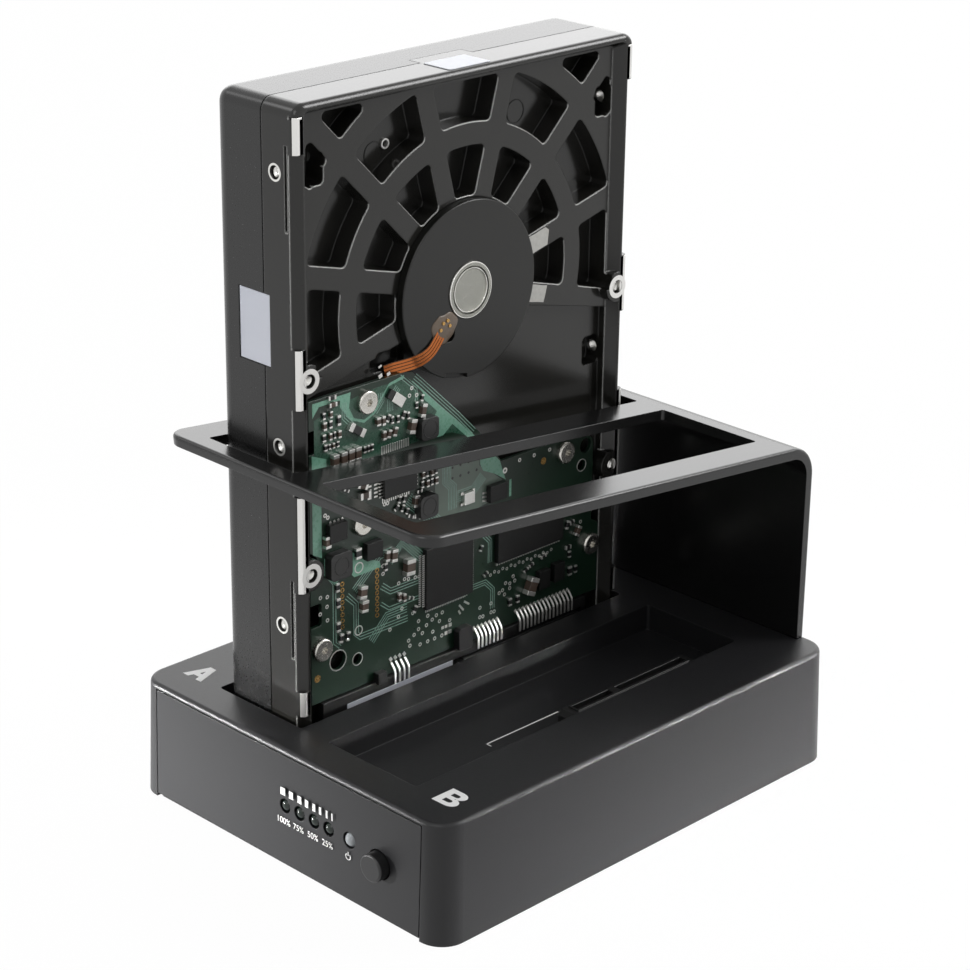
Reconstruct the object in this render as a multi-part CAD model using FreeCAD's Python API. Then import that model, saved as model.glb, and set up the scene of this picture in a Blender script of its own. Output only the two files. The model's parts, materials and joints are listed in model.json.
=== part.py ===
"""Two-bay drive duplicator with one 3.5-inch drive seated in bay A.

All sizes are in millimetres. +Z is up, the front with its lamps and button faces -Y, bay A is on the -X side and
bay B on the +X side. The origin is on the table, under the middle of the whole object.
"""
import FreeCAD, Part
import math
import os
from FreeCAD import Vector as V

# ---------------------------------------------------------------- case: driving sizes
CASE_W = 99.0            # outer width at the top surface
CASE_L = 126.7           # outer length at the top surface
CASE_H = 28.3            # height of the moulded shell
DRAFT = 1.5              # outward slope of the side walls towards the table, degrees
CORNER_R = 6.2           # plan radius of the shell's corners
TOP_EDGE_R = 1.0         # radius round the top surface
WALL = 2.2               # side wall thickness
TOP_T = 2.0              # thickness under the top surface
FOOT_PROUD = 1.0         # how far the feet hold the shell off the table
SEAM = 0.25              # open seam between two case pieces
FIT = 0.3                # clearance where one case piece stands on another

# ---------------------------------------------------------------- bays
BAY_PITCH = 36.6         # distance between the two bays' centres
BAY_SIDE_GAP = 0.8       # recess clearance on each side of a drive's thickness
BAY_END_GAP = 1.1        # and at each end of its width
BAY_DEPTH = 6.3          # recess depth below the top surface
BAY_FRONT = 9.2          # top surface left in front of the recess
BAY_R = 0.8              # plan radius of the recess corners
TRAY_T = 1.6             # wall and floor thickness of the recess

# ---------------------------------------------------------------- drive holder
HOLDER_W = 82.8          # width of the upright and of the top plate
HOLDER_T = 2.5           # its thickness
HOLDER_RISE = 48.5       # outer bend corner above the top surface
HOLDER_SLOPE = 5.8       # the top plate climbs towards the front by this angle, degrees
HOLDER_REACH = 124.5     # length of the top plate from the upright's back to its front edge
HOLDER_BEND_R = 8.0      # outer radius of the bend
HOLDER_CORNER_R = 5.0    # plan radius of the plate's front corners
HOLDER_EDGE_R = 0.8      # edge rounding
HOLE_SIDE_GAP = 0.45     # the plate's openings are wider than the recess by this on each side
HOLE_FRONT_GAP = 0.9     # and longer by this in front
HOLE_REAR_GAP = 3.1      # and by this behind
HOLE_R = 0.8             # corner radius of the openings
HOLDER_TONGUE = 1.2      # thickness and overhang of the tongue that traps the upright in the shell

# ---------------------------------------------------------------- front controls
PANEL_INSET = 5.95       # the front opening stops this far from each side of the case
PANEL_LIP = 1.2          # shell left above the front opening
PANEL_RAISE = 0.9        # lower edge of the front panel above the shell's lower edge
PANEL_T = 2.0            # thickness of the front panel
LAMP_FIRST = 42.6        # first progress lamp from the panel's right end
LAMP_STEP = 4.7          # spacing of the progress lamps
LAMP_COUNT = 4
LAMP_DROP = 13.4         # lamp centres below the top surface
LAMP_R = 1.5             # lens radius
LAMP_HOLE_R = 1.7
POWER_LAMP = 21.9        # power lamp from the panel's right end
POWER_LAMP_R = 1.75
POWER_LAMP_HOLE_R = 1.9
BUTTON = 12.65           # button from the panel's right end
BUTTON_DROP = 15.4
BUTTON_R = 3.2
BUTTON_HOLE_R = 3.45
BUTTON_PROUD = 2.6
BUTTON_TRAVEL = 1.2

# ---------------------------------------------------------------- rear ports
USB_X = -16.0
USB_W, USB_H, USB_L = 12.2, 11.4, 17.0
JACK_X = 4.0
JACK_W, JACK_H, JACK_L = 9.0, 11.0, 14.0
JACK_BORE_R = 3.1
JACK_DEPTH = 10.0
JACK_PIN_R = 1.0
ROCKER_X = 24.0
ROCKER_W, ROCKER_H = 13.0, 9.0            # the rocker's face
ROCKER_TILT = 8.0        # the rocker lies at this tilt in either position
ROCKER_PROUD = 1.2       # its raised edge stands out this far from the upright
ROCKER_GAP = 0.3         # clearance round the rocker in its frame
SWITCH_RIM = 1.6         # the frame's rim round the rocker
SWITCH_BEZEL = 1.2       # overhang of the frame's bezel on the upright
SWITCH_BEZEL_T = 0.55
SWITCH_L = 12.0          # depth of the switch behind the upright's face
PORT_GAP = 0.25          # clearance round a port in the upright

# ---------------------------------------------------------------- inside the case
COVER_T = 2.0            # bottom cover thickness
COVER_GAP = 0.3          # clearance round the bottom cover
FOOT_R = 5.0
FOOT_SUNK = 0.8          # depth of the foot's pocket in the bottom cover
BOSS_R = 3.0
SCREW_HOLE_R = 1.15
SCREW_R = 1.05
SCREW_HEAD_R = 2.4
SCREW_HEAD_H = 1.4
BOARD_T = 1.6
BOARD_LIFT = 4.0         # main board above the bottom cover
MAIN_BOARD_IN = 9.5      # main board's edges from the case's sides
MAIN_BOARD_FRONT = 8.0   # main board's front edge behind the top front edge
FRONT_BOARD_Y = 9.2      # front board's face behind the top front edge
CAN_R = 3.15             # electrolytic capacitors on the main board
CAN_H = 7.4
COIL_W = 7.0             # its power inductors
COIL_H = 3.6
RECEPTACLE_L = 42.6      # drive receptacle along the bay
RECEPTACLE_T = 4.4       # and across it
RECEPTACLE_LOW = 0.6     # its top face below the top surface
RECEPTACLE_GAP = 0.35    # clearance round it in the recess floor
PLUG_Y = 18.2            # middle of the drive connector from the drive's middle
PLUG_IN = 2.5            # middle of the drive connector from the drive's board side

# ---------------------------------------------------------------- the 3.5-inch drive
DRIVE_W = 101.6          # width, along the bay
DRIVE_T = 26.1           # full thickness
DRIVE_H = 145.0          # length, standing upright in the bay
DRIVE_REST = 0.05        # seated drive above the recess floor
DRIVE_GAP = 0.6          # clearance between the drive's board side and the recess wall
CAST_T = 10.3            # base casting, from the board side to the parting line
GASKET_T = 0.3
DRIVE_CORNER_R = 3.0
BOARD_EDGE_R = 1.4       # outer edges of the board side
COVER_EDGE_R = 4.2       # outer edges of the deep cover
RIM_W = 2.5              # flat rim along the board side's long edges
RIM_TOP_W = 1.6          # and across its upper end
RIM_SLOPE_W = 2.0        # sloped inner face of the rim, and 0.55 of it at the upper end
RELIEF = 2.0             # bevel on the rim between its bare tabs
TABS_Z = ((134.5, 142.5), (79.5, 93.0), (37.5, 60.0), (8.0, 14.0))
WEB_SINK = 2.5           # ribbed web below the rim
POCKET_DEPTH = 5.0       # pockets below the web
POCKET_R = 1.2           # corner radius of the pockets
POCKET_IN = 0.5          # ledge between the pockets and the rim
RIB_W = 5.0
RIB_FIRST = -15.5        # direction of the first rib, degrees from +Y
RIB_STEP = 30.1
RIB_COUNT = 8
RING_IN = (20.8, 32.0)   # inner ring of pockets
RING_OUT = (37.1, 48.3)  # outer ring of pockets
RING_EDGE = 53.8         # beyond this radius lie the corner pockets
SPINDLE_IN = 49.7        # spindle from the drive's upper end
MOTOR_R = 20.3           # motor flange
MOTOR_FACE = 0.6         # its face below the rim
MOTOR_BORE_R = 12.0
SPINDLE_CAP_R = 6.45
SPINDLE_FACE_R = 5.0
WEB_END_Z = 80.6         # where the web stops at the drive's sides
WEB_MEET = 8.4           # and this far below the spindle beside the motor
FLEX_HOLLOW_X = 6.6      # hollow for the motor's flat lead: depth and reach
FLEX_HOLLOW_Y = (-26.5, -16.5)
FLEX_HOLLOW_Z = (81.0, 86.2)
BOARD_SINK = 4.4         # floor of the board recess
PCB_T = 1.0
PCB_STAND = 1.0          # bosses that carry the drive's board
PCB_GAP = 0.3            # clearance between the board and the rim
CHAMBER_X = 9.3          # floor of the sealed chamber
CHAMBER_WALL = 2.7       # thinnest side wall round the platter
CHAMBER_CEILING = 1.5    # thickness of the cover's face
ARM_WALL = 9.8           # side wall beside the head arm
SHAFT_R = 2.6            # motor shaft
RUNNING_FIT = 0.05       # radial clearance of a turning part on its shaft
PLATTER_GAP = 0.6        # platter's edge to the wall
PLATTER_T = 1.3
PLATTER_X = 15.3         # platter's near face below the board side
HUB_R = 12.4
HOLE_RADIUS = 1.5        # threaded mounting holes
SIDE_HOLE_IN = 6.35      # side holes from the board side
SIDE_HOLES_Z = (28.5, 70.1, 130.1)
SIDE_HOLE_CHAMFER = 0.4  # depth of the chamfer at their mouths
HOLLOW_X = 8.2           # depth of the hollows behind the side holes
HOLLOW = (5.4, 7.0)      # their reach from the wall and their length
BASE_HOLES_Y = 95.25 / 2
BASE_HOLES_Z = (41.28, 85.73)
BASE_HOLE_DEPTH = 5.0
PAD_R = 3.6              # bright pad round each base hole
SIDE_SLOT_X = 2.95       # thin slots in the long sides, below the board side
SIDE_SLOTS_Z = ((21.5, 40.0), (118.0, 136.2))
BOARD_SCREW_R = 0.95
LID_SCREW_R = 0.95
PIVOT_IN = 17.0          # head arm pivot from the chamber's side wall
PIVOT_Z = 36.0
PIVOT_R = 5.5
ARM_HUB_R = 8.4
ARM_LONG = 46.0          # pivot to head
ARM_TAIL = (14.0, 6.5)   # coil end: length behind the pivot and half width
ARM_PARK = 62.0          # direction of the parked arm, over the inner track, degrees from +Y
ARM_RANGE = (-40.0, 0.0) # it swings this far out to the rim, degrees
ARM_CLEAR = 0.45         # arms above and below the platter
LID_SCREW_IN = 5.6       # lid screws from the drive's sides
LID_SCREW_MID = 58.0     # the middle pair above the connector end
LID_SCREW_HEAD_R = 2.1
LID_SCREW_HEAD_H = 1.0
LID_SCREW_SINK = 1.4     # depth of their wells in the cover
LID_RING = (17.0, 18.2)  # turned ring over the spindle
LID_DIMPLE_R = 6.0
LABEL_SINK = 0.4         # label recess in the cover: depth and reach
LABEL_Y = (-38.0, 38.0)
LABEL_Z = (12.0, 64.0)
TONGUE_Y = (-6.0, 9.5)   # tongue of the casting in the cover's top edge
TONGUE_W = 3.6
TONGUE_T = 0.9
STICKER_DEPTH = 0.3      # recess of the side sticker, and its place across the drive and along it
STICKER_X = (-18.6, -8.6)
STICKER_Z = (87.2, 103.4)
PLUG_TOP = 8.4           # height of the connector block

# ---------------------------------------------------------------- the drive's board: y, z from its middle and lower end
LAYOUT_W = 101.6         # the places below are drawn for this width and move in step with the drive's
BOARD_SCREWS = ((-29.6, 76.1), (-43.2, 21.6), (-31.1, 48.1), (33.4, 47.6), (42.9, 21.6))
BOARD_HOLES = ((-38.2, 17.2, 2.3), (-32.4, 15.6, 1.35), (39.6, 42.6, 1.4), (40.9, 47.3, 1.9))      # and radius
INDUCTORS = ((-12.2, 65.9, 5.2), (-12.3, 47.3, 5.4), (-38.7, 40.8, 6.2))                          # and width
REGULATORS = ((-38.9, 48.6, 5.0, 4.2), (-28.2, 41.2, 4.6, 4.0), (10.4, 44.2, 5.4, 4.0), (26.4, 17.4, 3.6, 4.6),
              (31.4, 17.9, 3.4, 4.6))                                                             # and both sides
CONTROLLER_CHIP = (-12.4, 2.4, 21.6, 36.4)                                                        # both ends in y and z
MEMORY_CHIP = (10.6, 32.4, 26.2, 36.0)
MOTOR_CHIP = (-25.2, -15.4, 52.4, 60.6)
CHIP_H = 1.4
CHIP_PITCH = 0.8

# ---------------------------------------------------------------- worked out from the above
TAN = math.tan(math.radians(DRAFT))
PANEL_W = CASE_W - 2 * PANEL_INSET
LAMP_FIRST_X = PANEL_W / 2 - LAMP_FIRST
POWER_LAMP_X = PANEL_W / 2 - POWER_LAMP
BUTTON_X = PANEL_W / 2 - BUTTON
CASE_Z0 = FOOT_PROUD
CASE_TOP = CASE_Z0 + CASE_H
SPREAD = CASE_H * TAN                       # the shell is this much wider at the bottom, each side
LAMP_Z = CASE_TOP - LAMP_DROP
BUTTON_Z = CASE_TOP - BUTTON_DROP
BUTTON_SPREAD = BUTTON_DROP * TAN
FRONT_REACH = max(BUTTON_SPREAD + BUTTON_PROUD, SPREAD)
REAR_REACH = max(ROCKER_PROUD, SPREAD)
CASE_Y = (FRONT_REACH - REAR_REACH) / 2     # puts the origin under the middle of the whole object
FRONT_Y = CASE_Y - CASE_L / 2               # top front edge
REAR_Y = CASE_Y + CASE_L / 2                # top rear edge
BAY_W = DRIVE_T + 2 * BAY_SIDE_GAP
BAY_L = DRIVE_W + 2 * BAY_END_GAP
BAY_Y0 = FRONT_Y + BAY_FRONT
BAY_Y = BAY_Y0 + BAY_L / 2
BAY_FLOOR = CASE_TOP - BAY_DEPTH
BAYS = {"a": -BAY_PITCH / 2, "b": BAY_PITCH / 2}
ROCKER_Z = BAY_FLOOR - TRAY_T - 0.4 - ROCKER_H / 2 - SWITCH_RIM      # the switch lies under the recesses
COVER_Z1 = CASE_Z0 + COVER_T
TONGUE_Z = (COVER_Z1 + FIT, CASE_TOP - TOP_T - FIT)    # height range inside the shell, clear of cover and top
BOARD_Z0 = COVER_Z1 + BOARD_LIFT
BOARD_Z1 = BOARD_Z0 + BOARD_T
HOLDER_BACK = HOLDER_T + 2 * HOLDER_TONGUE             # front of the tongue, from the upright's back
MAIN_BOARD_X = CASE_W / 2 - MAIN_BOARD_IN
BOSS_X = CASE_W / 2 - 8.6
BOSS_Y = CASE_L / 2 - 10.5
DRIVE_X = BAYS["a"] + BAY_W / 2 - DRIVE_GAP            # the drive's board side
DRIVE_Y = BAY_Y
DRIVE_Z = BAY_FLOOR + DRIVE_REST
PCB_X1 = -(BOARD_SINK - PCB_STAND - PCB_T)             # outer face of the drive's board
PCB_X0 = PCB_X1 - PCB_T
WEB_HALF = DRIVE_W / 2 - RIM_W - RIM_SLOPE_W          # half width of the web
SIDE_HOLE_DEPTH = DRIVE_W / 2 - WEB_HALF              # the side holes go through the side walls
PCB_HALF = WEB_HALF - PCB_GAP
PLUG_BODY = (2.6 - PCB_HALF, PCB_HALF - 4.8)          # ends of the connector block along Y, from the drive's middle
SPINDLE_Z = DRIVE_H - SPINDLE_IN
CHAMBER_R = DRIVE_W / 2 - CHAMBER_WALL
ARM_ROOM = DRIVE_W / 2 - ARM_WALL                     # half width of the chamber beside the head arm
PLATTER_R = CHAMBER_R - PLATTER_GAP
PIVOT_Y = PIVOT_IN - ARM_ROOM
POCKET_X = -WEB_SINK - POCKET_DEPTH                   # floor of the pockets
COVER_X = -CAST_T - GASKET_T                          # the cover's seat on its gasket
CEILING_X = CHAMBER_CEILING - DRIVE_T                 # inner face of the cover
ARM_NEAR = ARM_CLEAR - PLATTER_X
ARM_FAR = -PLATTER_X - PLATTER_T - ARM_CLEAR


# ---------------------------------------------------------------- small modelling helpers
def block(x0, x1, y0, y1, z0, z1):
    """A box between two corners."""
    return Part.makeBox(x1 - x0, y1 - y0, z1 - z0, V(x0, y0, z0))


def rod(radius, start, axis, length):
    """A cylinder from a start point along an axis."""
    return Part.makeCylinder(radius, length, V(*start), V(*axis))


def prism(points, thickness):
    """A polygon of 3-D points, extruded by a vector."""
    wire = Part.makePolygon([V(*p) for p in points] + [V(*points[0])])
    return Part.Face(wire).extrude(V(*thickness))


def edges_where(shape, test):
    """The edges whose both ends and middle pass the test."""
    found = []
    for edge in shape.Edges:
        ends = [v.Point for v in edge.Vertexes]
        middle = edge.valueAt((edge.FirstParameter + edge.LastParameter) / 2)
        if all(test(p) for p in ends + [middle]):
            found.append(edge)
    return found


def edges_along(shape, axis, near=0.02):
    """The straight edges that run along one axis, within a small slope."""
    found = []
    for edge in shape.Edges:
        if edge.Curve.TypeId == "Part::GeomLine":
            along = edge.Vertexes[-1].Point - edge.Vertexes[0].Point
            if along.Length > 1e-6 and abs(along.normalize().dot(V(*axis))) > 1 - near:
                found.append(edge)
    return found


def rounded_block(x0, x1, y0, y1, z0, z1, radius, axis=(0, 0, 1)):
    """A box whose edges along one axis are rounded."""
    solid = block(x0, x1, y0, y1, z0, z1)
    return solid.makeFillet(radius, edges_along(solid, axis))


def tapered_block(inset, z0, z1, corner_r):
    """The case's outline at a constant inset from its drafted outer faces, between two heights."""
    wires = []
    for z in (z0, z1):
        grow = (CASE_TOP - z) * TAN - inset
        x, y = CASE_W / 2 + grow, CASE_L / 2 + grow
        corners = [V(-x, CASE_Y - y, z), V(x, CASE_Y - y, z), V(x, CASE_Y + y, z), V(-x, CASE_Y + y, z)]
        wires.append(Part.makePolygon(corners + [corners[0]]))
    solid = Part.makeLoft(wires, True, True)
    upright = [e for e in solid.Edges if abs(e.Vertexes[0].Z - e.Vertexes[1].Z) > 1]
    return solid.makeFillet(corner_r, upright)


def placed(shape):
    """A shape drawn in the drive's own frame, set at the drive's seat in bay A."""
    return shape.translated(V(DRIVE_X, DRIVE_Y, DRIVE_Z))


def fuse(shapes):
    """One solid from several that touch."""
    return shapes[0].multiFuse(shapes[1:]).removeSplitter()


def group(shapes):
    """Separate solids that share one node."""
    return Part.makeCompound(shapes)


# ---------------------------------------------------------------- case
def boss_places():
    """The four screw bosses in the corners of the case."""
    return [(sx * BOSS_X, CASE_Y + sy * BOSS_Y) for sx in (-1, 1) for sy in (-1, 1)]


def bay_prism(centre, grow, z0, z1):
    """The outline of a bay recess, grown all round, between two heights."""
    radius = BAY_R + max(grow, 0)
    return rounded_block(centre - BAY_W / 2 - grow, centre + BAY_W / 2 + grow,
                         BAY_Y0 - grow, BAY_Y0 + BAY_L + grow, z0, z1, radius)


def receptacle_x(centre):
    """Middle of the drive receptacle across a bay."""
    return centre + BAY_W / 2 - DRIVE_GAP - PLUG_IN


def make_top_shell():
    outer = tapered_block(0, CASE_Z0, CASE_TOP, CORNER_R)
    rim = edges_where(outer, lambda p: abs(p.z - CASE_TOP) < 1e-6)
    outer = outer.makeFillet(TOP_EDGE_R, rim)
    inner = tapered_block(WALL, CASE_Z0 - 1, CASE_TOP - TOP_T, CORNER_R - WALL)
    shell = outer.cut(inner)
    trays = [bay_prism(x, TRAY_T, BAY_FLOOR - TRAY_T, CASE_TOP - TOP_T / 2) for x in BAYS.values()]
    bosses = [rod(BOSS_R, (x, y, COVER_Z1 + FIT), (0, 0, 1), CASE_TOP - TOP_T / 2 - COVER_Z1 - FIT)
              for x, y in boss_places()]
    shell = shell.multiFuse(trays + bosses)
    depth = WALL + SPREAD + 1
    front = block(-PANEL_W / 2, PANEL_W / 2, FRONT_Y - SPREAD - 1, FRONT_Y + WALL + FIT,
                  CASE_Z0 - 1, CASE_TOP - PANEL_LIP)
    rear_w = HOLDER_W / 2 + SEAM
    rear = block(-rear_w, rear_w, REAR_Y - HOLDER_T - SEAM, REAR_Y + depth, CASE_Z0 - 1, CASE_TOP + 1)
    cuts = [front, rear]
    for centre in BAYS.values():
        cuts.append(bay_prism(centre, 0, BAY_FLOOR, CASE_TOP + 1))
        x = receptacle_x(centre)
        half = RECEPTACLE_T / 2 + RECEPTACLE_GAP
        long_half = RECEPTACLE_L / 2 + RECEPTACLE_GAP
        cuts.append(block(x - half, min(x + half, centre + BAY_W / 2), BAY_Y + PLUG_Y - long_half,
                          BAY_Y + PLUG_Y + long_half, BAY_FLOOR - TRAY_T - 1, BAY_FLOOR + 1))
    cuts += [rod(SCREW_HOLE_R, (x, y, COVER_Z1), (0, 0, 1), 12) for x, y in boss_places()]
    return shell.cut(group(cuts)).removeSplitter()


def front_slab(x_half, z0, z1, near, far):
    """A slab that follows the drafted front face, from a depth behind it to a greater depth."""
    def face_y(z):
        return FRONT_Y - (CASE_TOP - z) * TAN
    points = [(-x_half, face_y(z0) + near, z0), (-x_half, face_y(z1) + near, z1),
              (-x_half, face_y(z1) + far, z1), (-x_half, face_y(z0) + far, z0)]
    return prism(points, (2 * x_half, 0, 0))


def lamp_places():
    """The progress lamps, then the power lamp: x, lens radius and hole radius."""
    row = [(LAMP_FIRST_X + i * LAMP_STEP, LAMP_R, LAMP_HOLE_R) for i in range(LAMP_COUNT)]
    return row + [(POWER_LAMP_X, POWER_LAMP_R, POWER_LAMP_HOLE_R)]


def make_front_panel():
    z0 = CASE_Z0 + PANEL_RAISE
    z1 = CASE_TOP - PANEL_LIP - SEAM
    slab = front_slab(PANEL_W / 2 - SEAM, z0, z1, 0, PANEL_T)
    hidden_top = CASE_TOP - TOP_T - FIT
    flange = front_slab(PANEL_W / 2 + 1.6, COVER_Z1 + FIT, hidden_top, WALL + FIT + 0.5, WALL + FIT + 1.7)
    bridge = front_slab(PANEL_W / 2 - 1.0, COVER_Z1 + FIT, hidden_top, PANEL_T - 0.2, WALL + FIT + 0.7)
    panel = fuse([slab, bridge, flange])
    y0 = FRONT_Y - 3
    holes = [rod(r, (x, y0, LAMP_Z), (0, 1, 0), 12) for x, _, r in lamp_places()]
    holes.append(rod(BUTTON_HOLE_R, (BUTTON_X, y0, BUTTON_Z), (0, 1, 0), 12))
    holes.append(rod(BUTTON_HOLE_R + 1.2, (BUTTON_X, FRONT_Y + PANEL_T - 0.4, BUTTON_Z), (0, 1, 0), 6))
    lens_seat = FRONT_Y + PANEL_T - 0.2
    holes += [rod(r + 0.6, (x, lens_seat, LAMP_Z), (0, 1, 0), 6) for x, _, r in lamp_places()]
    return panel.cut(group(holes))


def make_bottom_cover():
    inset = WALL + COVER_GAP
    cover = tapered_block(inset, CASE_Z0, COVER_Z1, CORNER_R - inset)
    front_fill = front_slab(PANEL_W / 2 - 1.0, CASE_Z0, CASE_Z0 + PANEL_RAISE - SEAM, 0.8, WALL + 2)
    cover = fuse([cover, front_fill])
    keep_y = REAR_Y - HOLDER_T - COVER_GAP
    cover = cover.cut(block(-HOLDER_W / 2 - 1, HOLDER_W / 2 + 1, keep_y, REAR_Y + 3, CASE_Z0 - 1, COVER_Z1 + 1))
    posts = [rod(2.6, (x, y, COVER_Z1 - 0.2), (0, 0, 1), BOARD_LIFT + 0.2) for x, y in board_post_places()]
    cover = fuse([cover] + posts)
    cuts = [rod(SCREW_R + 0.35, (x, y, CASE_Z0 - 1), (0, 0, 1), COVER_T + 2) for x, y in boss_places()]
    cuts += [rod(SCREW_HEAD_R + 0.3, (x, y, CASE_Z0 - 1), (0, 0, 1), 1 + SCREW_HEAD_H - 0.2)
             for x, y in boss_places()]
    cuts += [rod(FOOT_R + 0.05, (x, y, CASE_Z0 - 1), (0, 0, 1), 1 + FOOT_SUNK) for x, y in foot_places()]
    cuts += [rod(SCREW_HOLE_R, (x, y, CASE_Z0 + 0.8), (0, 0, 1), 10) for x, y in board_post_places()]
    vent_w, vent_l, vents = 2.0, 26.0, 9
    for i in range(vents):
        x = (i - (vents - 1) / 2) * 5.0
        cuts.append(rounded_block(x - vent_w / 2, x + vent_w / 2, CASE_Y - vent_l / 2, CASE_Y + vent_l / 2,
                                  CASE_Z0 - 1, COVER_Z1 + 1, vent_w / 2 - 0.05))
    return cover.cut(group(cuts))


def foot_places():
    return [(sx * (CASE_W / 2 - 17.5), CASE_Y + sy * (CASE_L / 2 - 14.0)) for sx in (-1, 1) for sy in (-1, 1)]


def board_post_places():
    return [(sx * 36.0, CASE_Y + sy * 38.0) for sx in (-1, 1) for sy in (-1, 1)]


def make_rubber_feet():
    feet = []
    for x, y in foot_places():
        foot = rod(FOOT_R, (x, y, 0), (0, 0, 1), FOOT_PROUD + FOOT_SUNK)
        lower = edges_where(foot, lambda p: p.z < 1e-6)
        feet.append(foot.makeFillet(0.4, lower))
    return group(feet)


def pan_screw(x, y, z, axis, length, radius, head_r, head_h):
    """A screw whose head starts at the point and whose shank runs along the axis, with a cross recess."""
    head = rod(head_r, (0, 0, 0), (0, 0, 1), head_h)
    head = head.makeFillet(head_h * 0.35, edges_where(head, lambda p: p.z < 1e-6))
    shank = rod(radius, (0, 0, head_h - 0.1), (0, 0, 1), length + 0.1)
    arm = head_r * 0.55
    recess = group([block(-arm, arm, -0.3, 0.3, -0.1, head_h * 0.5), block(-0.3, 0.3, -arm, arm, -0.1, head_h * 0.5)])
    screw = fuse([head, shank]).cut(recess)
    turn = FreeCAD.Rotation(V(0, 0, 1), V(*axis))
    screw.Placement = FreeCAD.Placement(V(x, y, z), turn)
    return screw


def make_case_screws():
    head_z = CASE_Z0 - 0.2
    return group([pan_screw(x, y, head_z, (0, 0, 1), 9.0, SCREW_R, SCREW_HEAD_R, SCREW_HEAD_H)
                  for x, y in boss_places()])


# ---------------------------------------------------------------- drive holder
def make_drive_holder():
    slope = math.radians(HOLDER_SLOPE)
    corner_z = CASE_TOP + HOLDER_RISE
    front_y = REAR_Y - HOLDER_REACH * math.cos(slope)
    front_z = corner_z + HOLDER_REACH * math.sin(slope)
    drop = HOLDER_T / math.cos(slope)
    foot_z = CASE_Z0 + SEAM
    inner_y = REAR_Y - HOLDER_T
    x0 = -HOLDER_W / 2
    points = [(x0, REAR_Y, foot_z), (x0, REAR_Y, corner_z), (x0, front_y, front_z),
              (x0, front_y + HOLDER_T * math.sin(slope), front_z - HOLDER_T * math.cos(slope)),
              (x0, inner_y, corner_z + HOLDER_T * math.tan(slope) - drop), (x0, inner_y, foot_z)]
    plate = prism(points, (HOLDER_W, 0, 0))
    outer_bend = edges_where(plate, lambda p: abs(p.y - REAR_Y) < 1e-3 and abs(p.z - corner_z) < 1e-3)
    plate = plate.makeFillet(HOLDER_BEND_R, outer_bend)
    inner_bend = edges_where(plate, lambda p: abs(p.y - inner_y) < 1e-3 and p.z > CASE_TOP + 10)
    plate = plate.makeFillet(HOLDER_BEND_R - HOLDER_T, inner_bend)
    front_corners = edges_where(plate, lambda p: p.y < front_y + HOLDER_T and abs(abs(p.x) - HOLDER_W / 2) < 1e-3)
    plate = plate.makeFillet(HOLDER_CORNER_R, front_corners)
    top_edges = edges_where(plate, lambda p: p.z > CASE_TOP + 1 and on_holder_outside(p, slope, corner_z))
    plate = plate.makeFillet(HOLDER_EDGE_R, top_edges)
    bridge = block(-HOLDER_W / 2 + 1, HOLDER_W / 2 - 1, REAR_Y - HOLDER_BACK, inner_y + 0.1, TONGUE_Z[0], TONGUE_Z[1])
    wide = HOLDER_W / 2 + HOLDER_TONGUE + SEAM
    tongue = block(-wide, wide, REAR_Y - HOLDER_BACK, REAR_Y - HOLDER_BACK + HOLDER_TONGUE, TONGUE_Z[0], TONGUE_Z[1])
    plate = fuse([plate, bridge, tongue])
    half = BAY_W / 2 + HOLE_SIDE_GAP
    cuts = [rounded_block(x - half, x + half, BAY_Y0 - HOLE_FRONT_GAP, BAY_Y0 + BAY_L + HOLE_REAR_GAP,
                          CASE_TOP + 20, front_z + 5, HOLE_R) for x in BAYS.values()]
    cuts += rear_port_cuts()
    return plate.cut(group(cuts))


def on_holder_outside(p, slope, corner_z):
    """True on the plate's upper face, the bend's outside and the upright's back."""
    on_back = abs(p.y - REAR_Y) < 1e-3
    above = corner_z + (REAR_Y - p.y) * math.tan(slope)
    on_top = abs(p.z - above) < 1e-3
    centre_y = REAR_Y - HOLDER_BEND_R
    tangent = HOLDER_BEND_R * math.tan((math.pi / 2 - slope) / 2)
    centre_z = corner_z - tangent
    on_bend = abs(math.hypot(p.y - centre_y, p.z - centre_z) - HOLDER_BEND_R) < 1e-2
    return on_back or on_top or on_bend


# ---------------------------------------------------------------- rear ports
def rear_port_cuts():
    """Openings for the data socket, the power inlet and the switch, through upright and tongue."""
    y0, length = REAR_Y - HOLDER_BACK - 1, HOLDER_BACK + 2
    jack_z = BOARD_Z1 + JACK_H / 2 + 0.4
    usb = block(USB_X - USB_W / 2 - PORT_GAP, USB_X + USB_W / 2 + PORT_GAP, y0, y0 + length,
                BOARD_Z1 - PORT_GAP + 0.2, BOARD_Z1 + 0.2 + USB_H + PORT_GAP)
    jack = rod(JACK_BORE_R + 0.9, (JACK_X, y0, jack_z), (0, 1, 0), length)
    w, h = ROCKER_W / 2 + SWITCH_RIM + PORT_GAP, ROCKER_H / 2 + SWITCH_RIM + PORT_GAP
    switch = block(ROCKER_X - w, ROCKER_X + w, y0, y0 + length, ROCKER_Z - h, ROCKER_Z + h)
    return [usb, jack, switch]


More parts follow.
